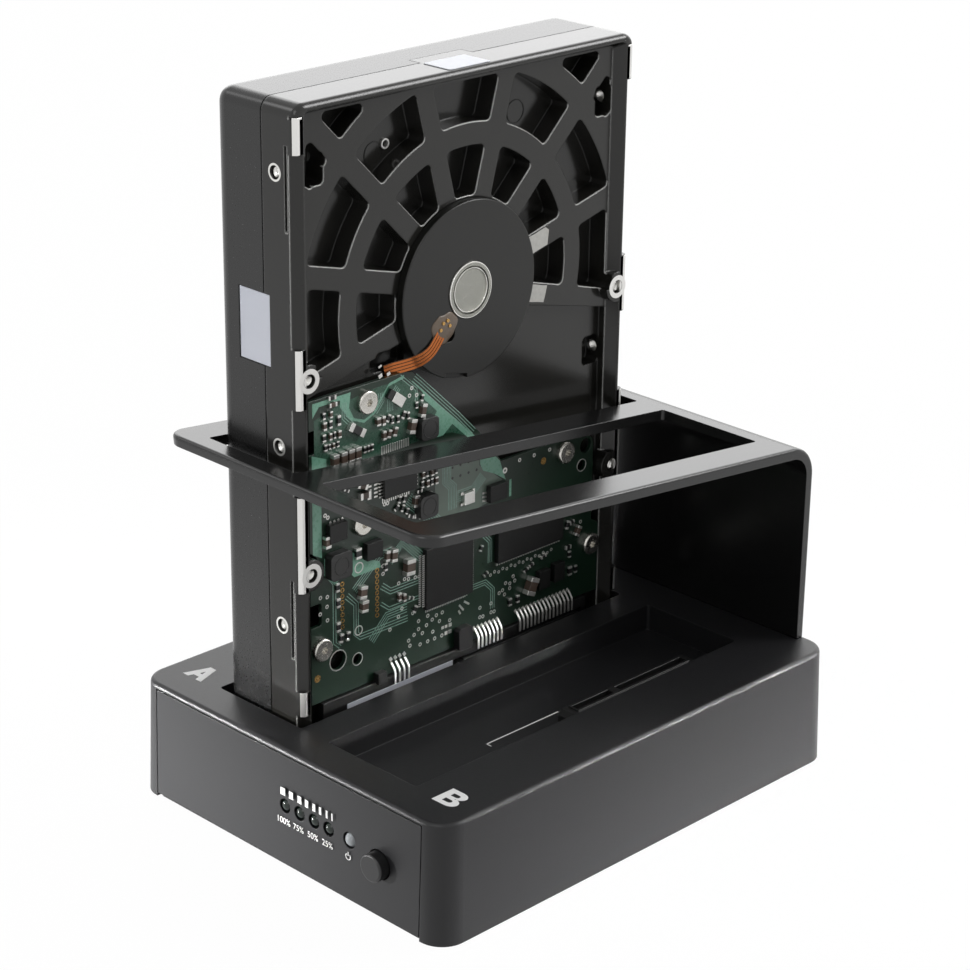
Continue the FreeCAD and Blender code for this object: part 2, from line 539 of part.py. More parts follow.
def make_usb_port():
    """A square data socket: a folded steel shell round an insulated tongue."""
    z0 = BOARD_Z1 + 0.2
    y1 = REAR_Y - 0.3
    y0 = y1 - USB_L
    body = block(USB_X - USB_W / 2, USB_X + USB_W / 2, y0, y1, z0, z0 + USB_H)
    wall = 1.0
    depth = 9.0
    low = block(USB_X - 4.2, USB_X + 4.2, y1 - depth, y1 + 1, z0 + wall, z0 + wall + 6.0)
    high = block(USB_X - 3.0, USB_X + 3.0, y1 - depth, y1 + 1, z0 + wall + 5.5, z0 + USB_H - wall)
    tongue = block(USB_X - 2.6, USB_X + 2.6, y1 - depth - 0.5, y1 - 1.2, z0 + 3.2, z0 + 5.4)
    blade = block(USB_X - 2.2, USB_X + 2.2, y1 - depth - 0.5, y1 - 1.2, z0 + 8.0, z0 + 9.0)
    lugs = [block(USB_X + s * (USB_W / 2) - 0.4, USB_X + s * (USB_W / 2) + 0.4, y0 + 5, y0 + 7,
                  BOARD_Z0 - 0.6, z0 + 2) for s in (-1, 1)]
    return fuse([body.cut(group([low, high])), tongue, blade] + lugs)


def make_dc_jack():
    """A barrel power inlet: a block with a round nose, a bore and a centre pin."""
    jack_z = BOARD_Z1 + JACK_H / 2 + 0.4
    y1 = REAR_Y - HOLDER_BACK - PORT_GAP
    nose_end = REAR_Y - 0.3
    body = block(JACK_X - JACK_W / 2, JACK_X + JACK_W / 2, y1 - JACK_L, y1, BOARD_Z1, BOARD_Z1 + JACK_H + 0.6)
    nose = rod(JACK_BORE_R + 0.6, (JACK_X, y1 - 0.5, jack_z), (0, 1, 0), nose_end - y1 + 0.5)
    bore = rod(JACK_BORE_R, (JACK_X, nose_end - JACK_DEPTH, jack_z), (0, 1, 0), JACK_DEPTH + 1)
    pin = rod(JACK_PIN_R, (JACK_X, nose_end - JACK_DEPTH - 0.5, jack_z), (0, 1, 0), JACK_DEPTH)
    return fuse([fuse([body, nose]).cut(bore), pin])


def make_switch_frame():
    """The switch's snap-in frame: bezel, hollow body and two terminals."""
    w, h = ROCKER_W / 2 + SWITCH_RIM, ROCKER_H / 2 + SWITCH_RIM
    bezel = rounded_block(ROCKER_X - w - SWITCH_BEZEL, ROCKER_X + w + SWITCH_BEZEL, REAR_Y, REAR_Y + SWITCH_BEZEL_T,
                          ROCKER_Z - h - SWITCH_BEZEL, ROCKER_Z + h + SWITCH_BEZEL, 1.0, (0, 1, 0))
    body = block(ROCKER_X - w, ROCKER_X + w, REAR_Y - SWITCH_L, REAR_Y + 0.1, ROCKER_Z - h, ROCKER_Z + h)
    w, h = ROCKER_W / 2 + ROCKER_GAP, ROCKER_H / 2
    hollow = block(ROCKER_X - w, ROCKER_X + w, REAR_Y - SWITCH_L + 3.5, REAR_Y + 1, ROCKER_Z - h, ROCKER_Z + h)
    terminals = [block(ROCKER_X + s * 4 - 0.4, ROCKER_X + s * 4 + 0.4, REAR_Y - SWITCH_L - 4, REAR_Y - SWITCH_L + 0.5,
                       ROCKER_Z - 1.5, ROCKER_Z + 1.5) for s in (-1, 1)]
    pivots = [rod(1.0, (ROCKER_X, ROCKER_PIVOT_Y, ROCKER_Z + s * (h + 0.3)), (0, 0, -s), 1.1) for s in (-1, 1)]
    return fuse([fuse([bezel, body]).cut(hollow)] + terminals + pivots)


def rocker_body():
    """The rocker about its own pivot, tilted to one side; its two faces meet in a shallow V."""
    half, tall = ROCKER_W / 2, ROCKER_H - 2 * ROCKER_GAP
    dip = half * math.tan(math.radians(ROCKER_TILT))
    points = [(-half, 3.4, 0), (0, 3.4 - dip, 0), (half, 3.4, 0), (half * 0.72, -1.6, 0), (-half * 0.72, -1.6, 0)]
    rocker = prism(points, (0, 0, tall)).translated(V(0, 0, -tall / 2))
    rocker = rocker.makeFillet(0.5, edges_where(rocker, lambda p: abs(abs(p.x) - half) < 1e-3))
    sockets = [rod(1.05, (0, 0, s * (tall / 2 + 0.1)), (0, 0, -s), 0.8) for s in (-1, 1)]
    rocker = rocker.cut(group(sockets))
    rocker.rotate(V(0, 0, 0), V(0, 0, 1), ROCKER_TILT)
    return rocker


ROCKER_PIVOT_Y = REAR_Y + ROCKER_PROUD - rocker_body().BoundBox.YMax


def make_power_rocker():
    return rocker_body().translated(V(ROCKER_X, ROCKER_PIVOT_Y, ROCKER_Z))


# ---------------------------------------------------------------- boards inside the case
def make_main_board():
    rear = REAR_Y - HOLDER_BACK - 0.5
    board = block(-MAIN_BOARD_X, MAIN_BOARD_X, FRONT_Y + MAIN_BOARD_FRONT, rear, BOARD_Z0, BOARD_Z1)
    free = BOSS_R + 0.6
    cuts = []
    for x, y in boss_places():
        x0, x1 = sorted((x - math.copysign(free, x), math.copysign(CASE_W, x)))
        y0, y1 = sorted((y - math.copysign(free, y - CASE_Y), math.copysign(CASE_L, y)))
        cuts.append(block(x0, x1, y0, y1, BOARD_Z0 - 1, BOARD_Z1 + 1))
    cuts += [rod(SCREW_R + 0.3, (x, y, BOARD_Z0 - 1), (0, 0, 1), BOARD_T + 2) for x, y in board_post_places()]
    for s in (-1, 1):
        x = USB_X + s * USB_W / 2
        cuts.append(block(x - 0.7, x + 0.7, REAR_Y - 0.3 - USB_L + 4.6, REAR_Y - 0.3 - USB_L + 7.4,
                          BOARD_Z0 - 1, BOARD_Z1 + 1))
    half = ROCKER_W / 2 + SWITCH_RIM + 2.1
    cuts.append(block(ROCKER_X - half, ROCKER_X + half, rear - SWITCH_L - 3, rear + 1, BOARD_Z0 - 1, BOARD_Z1 + 1))
    return board.cut(group(cuts))


def make_main_board_screws():
    return group([pan_screw(x, y, BOARD_Z1 + 1.6, (0, 0, -1), 5.0, SCREW_R, 2.3, 1.6)
                  for x, y in board_post_places()])


def make_front_board():
    y0 = FRONT_Y + FRONT_BOARD_Y
    return block(LAMP_FIRST_X - 5, BUTTON_X + 6, y0, y0 + 1.2, BOARD_Z1 + 0.2, BAY_FLOOR - TRAY_T - 0.5)


def make_board_header():
    """Right-angle pins that join the front board to the main board."""
    y0 = FRONT_Y + FRONT_BOARD_Y + 1.2
    x0 = LAMP_FIRST_X + 6
    body = block(x0, x0 + 16.5, y0 + 0.05, y0 + 2.55, BOARD_Z1 + 0.05, BOARD_Z1 + 2.6)
    return body


def lead_comb(x0, y0, z0, pitch, count, size, step):
    """A row of small leads."""
    return [block(x0 + step[0] * i * pitch, x0 + step[0] * i * pitch + size[0],
                  y0 + step[1] * i * pitch, y0 + step[1] * i * pitch + size[1], z0, z0 + size[2])
            for i in range(count)]


def make_bridge_chip():
    cx, cy, half = 10.0, CASE_Y + 18.0, 7.0
    body = block(cx - half, cx + half, cy - half, cy + half, BOARD_Z1 + 0.1, BOARD_Z1 + 1.5)
    parts = [body]
    for side in (-1, 1):
        edge = half if side > 0 else -half - 1.0
        parts += lead_comb(cx - half + 1.0, cy + edge, BOARD_Z1 + 0.02, 1.0, 13, (0.35, 1.0, 0.2), (1, 0))
        parts += lead_comb(cx + edge, cy - half + 1.0, BOARD_Z1 + 0.02, 1.0, 13, (1.0, 0.35, 0.2), (0, 1))
    return group([body] + [p.cut(body) for p in parts[1:]])


def make_board_components():
    """Electrolytic capacitors, power inductors and a crystal on the main board."""
    jack_front = REAR_Y - HOLDER_BACK - PORT_GAP - JACK_L
    in_x, half = MAIN_BOARD_X - 0.5, COIL_W / 2
    cans = [rod(CAN_R, (x, y, BOARD_Z1), (0, 0, 1), CAN_H)
            for x, y in ((JACK_X - 2, jack_front - CAN_R - 1), (JACK_X + 6.5, jack_front - CAN_R - 1),
                         (in_x - CAN_R, CASE_Y - 14))]
    coils = [rounded_block(x - half, x + half, y - half, y + half, BOARD_Z1, BOARD_Z1 + COIL_H, 1.2)
             for x, y in ((-30, CASE_Y + 26), (in_x - half, CASE_Y - 26), (half - in_x, CASE_Y - 8))]
    crystal = rounded_block(7, 18, CASE_Y + 2, CASE_Y + 6.5, BOARD_Z1, BOARD_Z1 + 3.4, 2.0)
    return group(cans + coils + [crystal])


def make_receptacle(centre):
    """A tall 22-way drive receptacle: one thin body with a data slot and a power slot in its top."""
    x, y = receptacle_x(centre), BAY_Y + PLUG_Y
    z1 = CASE_TOP - RECEPTACLE_LOW
    half_l, half_t = RECEPTACLE_L / 2, RECEPTACLE_T / 2
    body = block(x - half_t, x + half_t, y - half_l, y + half_l, BOARD_Z1, z1 - 0.4)
    rail = block(x - half_t + 0.55, x + half_t - 0.55, y - half_l + 2.6, y + half_l - 2.6, z1 - 4.0, z1)
    shoe = block(x - half_t - 0.8, x + half_t + 0.25, y - half_l - 0.3, y + half_l + 0.3, BOARD_Z1, BOARD_Z1 + 5)
    body = fuse([body, rail, shoe])
    cuts = [block(x - 0.95, x + 0.95, y + a, y + b, z1 - 6.0, z1 + 1) for a, b in RECEPTACLE_SLOTS]
    step = 1.4
    for s in (-1, 1):
        end = y + s * half_l
        points = [(x - half_t - 1, end - s * step, z1), (x - half_t - 1, end + s, z1), (x - half_t - 1, end + s, z1 - 2.6)]
        cuts.append(prism(points, (RECEPTACLE_T + 2, 0, 0)))
    return body.cut(group(cuts))


RECEPTACLE_SLOTS = ((-18.3, -6.4), (-4.2, 18.3))    # data slot and power slot, from the middle


def make_receptacle_contacts():
    """Spring contacts in both receptacles: 7 data and 15 power, 1.27 apart."""
    leaves = []
    for centre in BAYS.values():
        x, y = receptacle_x(centre), BAY_Y + PLUG_Y
        z1 = CASE_TOP - RECEPTACLE_LOW
        for first, count in ((-16.2, 7), (-2.2, 15)):
            for i in range(count):
                y0 = y + first + i * 1.27
                leaves.append(block(x + 0.65, x + 0.93, y0 - 0.25, y0 + 0.25, z1 - 5.95, z1 - 0.9))
    return group(leaves)


# ---------------------------------------------------------------- lamps, button and switch
def make_lamp(x, radius):
    """A domed lens with its flange against the back of the panel and its leads in the front board."""
    face = FRONT_Y - LAMP_DROP * TAN
    back = FRONT_Y + FRONT_BOARD_Y
    seat = FRONT_Y + PANEL_T + 0.1
    barrel = rod(radius, (x, face + 1.2, LAMP_Z), (0, 1, 0), seat - face - 1.1)
    dome = Part.makeSphere(radius, V(x, face + 1.2, LAMP_Z))
    dome = dome.common(block(x - 3, x + 3, face - 3, face + 1.25, LAMP_Z - 3, LAMP_Z + 3))
    flange = rod(radius + 0.35, (x, seat, LAMP_Z), (0, 1, 0), 1.0)
    leads = [block(x + s * 0.9 - 0.22, x + s * 0.9 + 0.22, seat + 0.8, back, LAMP_Z - 0.22, LAMP_Z + 0.22)
             for s in (-1, 1)]
    return fuse([barrel, dome, flange] + leads)


def make_copy_button():
    face = FRONT_Y - BUTTON_SPREAD - BUTTON_PROUD
    cap = rod(BUTTON_R, (BUTTON_X, face, BUTTON_Z), (0, 1, 0), BUTTON_PROUD + PANEL_T + 0.6)
    cap = cap.makeFillet(0.5, edges_where(cap, lambda p: abs(p.y - face) < 1e-6))
    collar_y = FRONT_Y + PANEL_T - 0.4 + 0.3
    collar = rod(BUTTON_R + 0.95, (BUTTON_X, collar_y, BUTTON_Z), (0, 1, 0), 0.9)
    stem = rod(1.4, (BUTTON_X, collar_y + 0.5, BUTTON_Z), (0, 1, 0), 3.2)
    return fuse([cap, collar, stem])


def make_push_switch():
    """The momentary switch behind the button, with the well that its stem slides into."""
    y1 = FRONT_Y + FRONT_BOARD_Y
    y0 = y1 - 4.6
    body = rounded_block(BUTTON_X - 3.2, BUTTON_X + 3.2, y0, y1, BUTTON_Z - 3.2, BUTTON_Z + 3.2, 0.5, (0, 1, 0))
    return body.cut(rod(1.46, (BUTTON_X, y0 - 1, BUTTON_Z), (0, 1, 0), 4.6))


# ---------------------------------------------------------------- drive: casting
def drive_outline(x0, x1, inset):
    """The drive's rounded outline as a slab between two depths, drawn in the drive's frame."""
    half = DRIVE_W / 2 - inset
    return rounded_block(x0, x1, -half, half, inset, DRIVE_H - inset, DRIVE_CORNER_R - inset, (1, 0, 0))


def disc(radius, x0, x1, y=0.0, z=SPINDLE_Z):
    return rod(radius, (x0, y, z), (1, 0, 0), x1 - x0)


def ring(radii, x0, x1):
    return disc(radii[1], x0, x1).cut(disc(radii[0], x0, x1))


def radial_bar(angle, x0, x1, width, length):
    """A bar from the spindle outwards, in the direction of the angle."""
    bar = block(x0, x1, 0, length, -width / 2, width / 2)
    bar.rotate(V(0, 0, 0), V(1, 0, 0), angle)
    return bar.translated(V(0, 0, SPINDLE_Z))


def fan(first, last, x0, x1, reach):
    """The wedge between two directions from the spindle."""
    count = max(2, int((last - first) / 30) + 1)
    points = [(x0, 0, SPINDLE_Z)]
    for i in range(count + 1):
        a = math.radians(first + (last - first) * i / count)
        points.append((x0, reach * math.cos(a), SPINDLE_Z + reach * math.sin(a)))
    return prism(points, (x1 - x0, 0, 0))


def pocket_cutters():
    """The lightening pockets: two rings and the corners, parted by straight radial ribs."""
    x0, x1, wide = POCKET_X, 0.0, 2 * DRIVE_H
    half, top = WEB_HALF - POCKET_IN, DRIVE_H - RIM_TOP_W - 0.55 * RIM_SLOPE_W - POCKET_IN
    field = block(x0, x1, -half, half, 0, top)
    field = field.common(fan(RIB_FIRST, RIB_FIRST + (RIB_COUNT - 1) * RIB_STEP, x0, x1, wide))
    bars = group([radial_bar(RIB_FIRST + i * RIB_STEP, x0 - 1, x1 + 1, RIB_W, wide) for i in range(RIB_COUNT)])
    regions = [ring(RING_IN, x0, x1).common(field), ring(RING_OUT, x0, x1).common(field),
               field.cut(disc(RING_EDGE, x0 - 1, x1 + 1))]
    pockets = []
    for region in regions:
        for solid in region.cut(bars).Solids:
            floor = [f for f in solid.Faces if abs(f.CenterOfMass.x - x0) < 1e-3][0]
            if floor.Area / floor.Length > POCKET_R:
                rounded = floor.makeOffset2D(-POCKET_R).makeOffset2D(POCKET_R)
                pockets.append(rounded.extrude(V(x1 - x0, 0, 0)))
    return pockets


def rim_recess():
    """The space inside the rim, down to the web, with sloped walls; it is open at the connector end."""
    wires = []
    for x in (0.5, -WEB_SINK):
        slope = -x / WEB_SINK * RIM_SLOPE_W
        half, top = DRIVE_W / 2 - RIM_W - slope, DRIVE_H - RIM_TOP_W - 0.55 * slope
        corners = [V(x, -half, -5), V(x, half, -5), V(x, half, top), V(x, -half, top)]
        wires.append(Part.makePolygon(corners + [corners[0]]))
    recess = Part.makeLoft(wires, True, True)
    corners = edges_where(recess, lambda p: p.z > DRIVE_H / 2 and abs(p.y) > WEB_HALF - 1)
    return recess.makeFillet(DRIVE_CORNER_R - RIM_TOP_W, corners)


def across(y):
    """A place across the drive's board, moved in step with the drive's width."""
    return y * DRIVE_W / LAYOUT_W


def board_screw_places():
    """Screws that hold the drive's board: y, z."""
    return [(across(y), z) for y, z in BOARD_SCREWS]


def side_holes():
    """The threaded holes through both long sides, each with a chamfered mouth and a hollow behind it."""
    reach, length = HOLLOW
    wide, deep = HOLE_RADIUS + SIDE_HOLE_CHAMFER, 2 * SIDE_HOLE_CHAMFER
    cuts = []
    for s in (-1, 1):
        y0, y1 = sorted((s * (WEB_HALF - reach), s * WEB_HALF))
        for z in SIDE_HOLES_Z:
            cuts.append(rod(HOLE_RADIUS, (-SIDE_HOLE_IN, s * (DRIVE_W / 2 + 1), z), (0, -s, 0), SIDE_HOLE_DEPTH + 2))
            cuts.append(Part.makeCone(wide + SIDE_HOLE_CHAMFER, HOLE_RADIUS, deep,
                                      V(-SIDE_HOLE_IN, s * (DRIVE_W / 2 + SIDE_HOLE_CHAMFER), z), V(0, -s, 0)))
            cuts.append(rounded_block(-HOLLOW_X, 0, y0, y1, z - length / 2, z + length / 2, POCKET_R, (1, 0, 0)))
    return cuts


def rim_reliefs():
    """Bevels along the rim's outer edges, left out at the bare tabs."""
    stops = sorted(z for tab in TABS_Z for z in tab)
    starts = [0.0] + stops[1::2]
    ends = stops[0::2] + [DRIVE_H - DRIVE_CORNER_R]
    bevels = []
    for s in (-1, 1):
        side = s * DRIVE_W / 2
        for z0, z1 in zip(starts, ends):
            triangle = [(1, side - s * (RELIEF + 1), z0), (1, side + s, z0), (-RELIEF - 1, side + s, z0)]
            bevels.append(prism(triangle, (0, 0, z1 - z0)))
    return bevels


def sticker_recess():
    """Shallow recess for the sticker that bridges casting and cover on the front side."""
    face = -DRIVE_W / 2
    return block(STICKER_X[0], STICKER_X[1], face - 1, face + STICKER_DEPTH, STICKER_Z[0], STICKER_Z[1])


def tongue_notch(gap):
    """The place of the casting's tongue in the upper edge of gasket and cover."""
    return block(-CAST_T - TONGUE_W - gap, 1 - CAST_T, TONGUE_Y[0] - gap, TONGUE_Y[1] + gap,
                 DRIVE_H - TONGUE_T - gap, DRIVE_H + gap)


def chamber_solid(x0, x1):
    """The sealed space for the platter and the head arm."""
    arm_room = rounded_block(x0, x1, -ARM_ROOM, ARM_ROOM, 12.0, 70.0, 5.0, (1, 0, 0))
    return disc(CHAMBER_R, x0, x1).fuse(arm_room)


def lid_screw_places():
    side = DRIVE_W / 2 - LID_SCREW_IN
    return [(s * side, z) for s in (-1, 1) for z in (DRIVE_H - LID_SCREW_IN, LID_SCREW_MID, LID_SCREW_IN)]


def make_drive_casting():
    """The base casting: rim, ribbed web, board recess, chamber floor and the standard screw holes."""
    body = drive_outline(-CAST_T, 0, 0)
    body = body.makeFillet(BOARD_EDGE_R, edges_where(body, lambda p: abs(p.x) < 1e-6))
    body = body.cut(group(rim_reliefs()))
    body = fuse([body, tongue_notch(0)])
    pads = [disc(PAD_R, -BOARD_SINK - 1, 0, s * BASE_HOLES_Y, z) for s in (-1, 1) for z in BASE_HOLES_Z]
    stands = [disc(3.0, -BOARD_SINK - 1, PCB_X0, y, z) for y, z in board_screw_places()]
    body = body.cut(rim_recess().cut(group(pads)))
    meet_y, meet_z = MOTOR_R - 1, SPINDLE_Z - WEB_MEET
    lower = prism([(-BOARD_SINK, y, z) for y, z in (
        (-WEB_HALF, -1), (WEB_HALF, -1), (WEB_HALF, WEB_END_Z), (meet_y, meet_z), (0, SPINDLE_Z),
        (-meet_y, meet_z), (-WEB_HALF, WEB_END_Z))], (BOARD_SINK + 1, 0, 0))
    body = body.cut(lower.cut(group(pads + stands)))
    body = body.cut(group(pocket_cutters()))
    cuts = [disc(MOTOR_R + 0.1, -BOARD_SINK, 1), disc(MOTOR_BORE_R, -CAST_T - 1, 0),
            block(-8.4, 1, PLUG_BODY[0] - 0.1, PLUG_BODY[1] + 0.1, -1, PLUG_TOP + 0.1),
            chamber_solid(-CAST_T - 1, -CHAMBER_X), sticker_recess()]
    cuts += side_holes()
    cuts += [disc(HOLE_RADIUS, -BASE_HOLE_DEPTH, 1, s * BASE_HOLES_Y, z) for s in (-1, 1) for z in BASE_HOLES_Z]
    slot_w, slot_deep = 0.9, 0.8
    cuts += [block(-SIDE_SLOT_X - slot_w / 2, -SIDE_SLOT_X + slot_w / 2, s * DRIVE_W / 2 - slot_deep,
                   s * DRIVE_W / 2 + slot_deep, z0, z1) for s in (-1, 1) for z0, z1 in SIDE_SLOTS_Z]
    cuts += [disc(BOARD_SCREW_R + 0.05, -BOARD_SINK - 2.2, 1, y, z) for y, z in board_screw_places()]
    cuts += [disc(LID_SCREW_R + 0.15, -CAST_T - 1, -CAST_T + 2.3, y, z) for y, z in lid_screw_places()]
    cuts.append(rounded_block(-FLEX_HOLLOW_X, 1, FLEX_HOLLOW_Y[0], FLEX_HOLLOW_Y[1], FLEX_HOLLOW_Z[0],
                              FLEX_HOLLOW_Z[1], POCKET_R, (1, 0, 0)))
    for cut in cuts:
        body = body.cut(cut)
    return body


def make_gasket():
    body = drive_outline(COVER_X, -CAST_T, 0.4)
    cuts = [disc(1.5, COVER_X - 1, -CAST_T + 1, y, z) for y, z in lid_screw_places()]
    cuts += [chamber_solid(COVER_X - 1, -CAST_T + 1), tongue_notch(0.1), sticker_recess()]
    for cut in cuts:
        body = body.cut(cut)
    return body


def make_drive_lid():
    """The deep cover: rounded outer edges, a label recess, a turned ring over the spindle and screw wells."""
    body = drive_outline(-DRIVE_T, COVER_X, 0)
    body = body.makeFillet(COVER_EDGE_R, edges_where(body, lambda p: abs(p.x + DRIVE_T) < 1e-6))
    outside, shallow = -DRIVE_T - 1, LABEL_SINK - DRIVE_T
    cuts = [chamber_solid(CEILING_X, COVER_X + 1), sticker_recess(), tongue_notch(0.1),
            rounded_block(outside, shallow, LABEL_Y[0], LABEL_Y[1], LABEL_Z[0], LABEL_Z[1], 4.0, (1, 0, 0)),
            ring(LID_RING, outside, shallow), disc(LID_DIMPLE_R, outside, shallow)]
    cuts += [disc(LID_SCREW_HEAD_R + 0.4, outside, LID_SCREW_SINK - DRIVE_T, y, z) for y, z in lid_screw_places()]
    cuts += [disc(LID_SCREW_R + 0.3, outside, COVER_X + 1, y, z) for y, z in lid_screw_places()]
    for cut in cuts:
        body = body.cut(cut)
    return body


def make_lid_screws():
    seat = LID_SCREW_SINK - DRIVE_T
    length = 2.0 - CAST_T - seat
    return group([pan_screw(seat - LID_SCREW_HEAD_H, y, z, (1, 0, 0), length, LID_SCREW_R, LID_SCREW_HEAD_R,
                            LID_SCREW_HEAD_H) for y, z in lid_screw_places()])


# ---------------------------------------------------------------- drive: motor, platter and arm
def make_motor_base():
    """The motor's flange with its gland for the flat lead, its neck and the fixed shaft."""
    flange = disc(MOTOR_R, -BOARD_SINK, -MOTOR_FACE)
    flange = flange.makeFillet(0.3, edges_where(flange, lambda p: p.x > -MOTOR_FACE - 0.01))
    neck = disc(MOTOR_BORE_R - 0.05, -CHAMBER_X, -BOARD_SINK + 0.1)
    shaft = disc(SHAFT_R, ARM_FAR - 2.5, -CHAMBER_X + 0.1)
    seat = disc(SPINDLE_CAP_R + 0.05, -MOTOR_FACE - 1.4, 1)
    gland = rounded_block(-MOTOR_FACE - 1.2, 1, -10.6, -4.6, 84.6, 90.4, 1.5, (1, 0, 0))
    step = prism([(-MOTOR_FACE - 1.3, -7.4, 70), (-MOTOR_FACE - 1.3, -0.6, 70), (-MOTOR_FACE - 1.3, -0.6, 76.0),
                  (-MOTOR_FACE - 1.3, -7.4, 77.6)], (4, 0, 0))
    return fuse([flange, neck, shaft]).cut(group([seat, gland, step]))


def make_spindle_cap():
    """The bright turned ring and face plate at the motor's centre."""
    base = disc(SPINDLE_CAP_R, -MOTOR_FACE - 1.4, -MOTOR_FACE + 0.35)
    base = base.makeFillet(0.3, edges_where(base, lambda p: p.x > -MOTOR_FACE + 0.3))
    groove = ring((SPINDLE_FACE_R, SPINDLE_FACE_R + 0.5), -MOTOR_FACE - 0.6, 1)
    dish = disc(SPINDLE_FACE_R, -MOTOR_FACE + 0.1, 1)
    return base.cut(group([groove, dish]))


def make_spindle_hub():
    """The turning hub: a cup on the shaft with a shoulder that carries the platter."""
    hub = disc(HUB_R, -PLATTER_X - PLATTER_T - 2.4, -PLATTER_X + 3.6)
    shoulder = disc(HUB_R + 3.6, -PLATTER_X, -PLATTER_X + 2.0)
    return fuse([hub, shoulder]).cut(disc(SHAFT_R + RUNNING_FIT, -DRIVE_T, 0))


def make_platter():
    return ring((HUB_R + 0.1, PLATTER_R), -PLATTER_X - PLATTER_T, -PLATTER_X)


def make_platter_clamp():
    return ring((HUB_R + 0.05, HUB_R + 3.1), -PLATTER_X - PLATTER_T - 1.5, -PLATTER_X - PLATTER_T - 0.02)


def arm_point(along, across):
    """A point of the parked head arm, by its distance along and across it from the pivot."""
    a = math.radians(ARM_PARK)
    return (PIVOT_Y + along * math.cos(a) - across * math.sin(a), PIVOT_Z + along * math.sin(a) + across * math.cos(a))


def arm_plate(outline, x0, x1):
    return prism([(x0,) + arm_point(along, across) for along, across in outline], (x1 - x0, 0, 0))


def make_head_arm():
    """The arm: a hub on the pivot, one blade each side of the platter and the coil's frame behind."""
    blade = [(4.0, 6.5), (26.0, 3.4), (ARM_LONG - 3, 1.3), (ARM_LONG, 1.3), (ARM_LONG, -1.3), (ARM_LONG - 3, -1.3),
             (26.0, -3.4), (4.0, -6.5)]
    tail, half = ARM_TAIL
    coil = [(-5, 0.6 * half), (-tail, half), (-tail, -half), (-5, -0.6 * half)]
    arm = fuse([disc(ARM_HUB_R, ARM_FAR - 1.6, ARM_NEAR + 2.4, PIVOT_Y, PIVOT_Z), arm_plate(coil, ARM_FAR, ARM_NEAR),
                arm_plate(blade, ARM_NEAR, ARM_NEAR + 0.9), arm_plate(blade, ARM_FAR - 0.9, ARM_FAR)])
    return arm.cut(disc(PIVOT_R + RUNNING_FIT, -DRIVE_T, 0, PIVOT_Y, PIVOT_Z))


def make_pivot_bearing():
    return disc(PIVOT_R, CEILING_X, -CHAMBER_X, PIVOT_Y, PIVOT_Z)


def make_magnet_yokes():
    """Two steel plates with magnets, one each side of the arm's coil."""
    first, last, steps = 188.0, 284.0, 6
    edge = []
    for radius, order in ((ARM_TAIL[0] + 3, range(steps + 1)), (ARM_HUB_R + 1.2, range(steps, -1, -1))):
        for i in order:
            a = math.radians(first + (last - first) * i / steps)
            edge.append((PIVOT_Y + radius * math.cos(a), PIVOT_Z + radius * math.sin(a)))
    near_x, far_x = ARM_NEAR + 1.7, ARM_FAR - 1.7
    room = rounded_block(-DRIVE_T, 0, 0.4 - ARM_ROOM, ARM_ROOM, 12.4, 60, 4.0, (1, 0, 0))
    near = prism([(near_x, y, z) for y, z in edge], (-CHAMBER_X - near_x, 0, 0)).common(room)
    far = prism([(CEILING_X, y, z) for y, z in edge], (far_x - CEILING_X, 0, 0)).common(room)
    return near, far


# ---------------------------------------------------------------- drive: board and connector
def make_drive_board():
    """The drive's circuit board, with its slanted upper edge and the cut-outs round screws and pads."""
    edge, low, high, step = PCB_HALF, PLUG_TOP + 0.2, 80.0, 50.9
    outline = [(-edge, low), (edge, low), (edge, 26.2), (edge - 2.5, 27.7), (edge - 2.5, 48.2), (edge - 5.2, step),
               (across(12.6), step), (across(4.9), 60.4), (across(-15.8), high - 0.4), (across(-18.0), high),
               (-edge, high)]
    board = prism([(PCB_X0, y, z) for y, z in outline], (PCB_T, 0, 0))
    cuts = [disc(PAD_R + 0.6, PCB_X0 - 1, PCB_X1 + 1, s * BASE_HOLES_Y, z) for s in (-1, 1) for z in BASE_HOLES_Z]
    cuts += [disc(1.35, PCB_X0 - 1, PCB_X1 + 1, y, z) for y, z in board_screw_places()]
    cuts += [disc(r, PCB_X0 - 1, PCB_X1 + 1, across(y), z) for y, z, r in BOARD_HOLES]
    cuts += [rounded_block(PCB_X0 - 1, PCB_X1 + 1, -edge - 3, -edge + 3.2, z, z + 5.4, 0.9, (1, 0, 0))
             for z in (27.2, 67.8)]
    return board.cut(group(cuts))


def make_board_screws():
    """Wide low-head screws with a six-lobed recess."""
    screws = []
    for y, z in board_screw_places():
        head = disc(2.7, PCB_X1 + 0.03, PCB_X1 + 1.3, y, z)
        head = head.makeFillet(0.45, edges_where(head, lambda p: p.x > PCB_X1 + 1.25))
        shank = disc(BOARD_SCREW_R, -BOARD_SINK - 2.0, PCB_X1 + 0.1, y, z)
        lobes = [disc(0.32, PCB_X1 + 0.6, PCB_X1 + 2, y + 0.62 * math.cos(a), z + 0.62 * math.sin(a))
                 for a in [math.radians(60 * k) for k in range(6)]]
        lobes.append(disc(0.62, PCB_X1 + 0.6, PCB_X1 + 2, y, z))
        screws.append(fuse([head, shank]).cut(group(lobes)))
    return group(screws)


def chip(y0, y1, z0, z1, height):
    return block(PCB_X1 + 0.1, PCB_X1 + height, y0, y1, z0, z1)


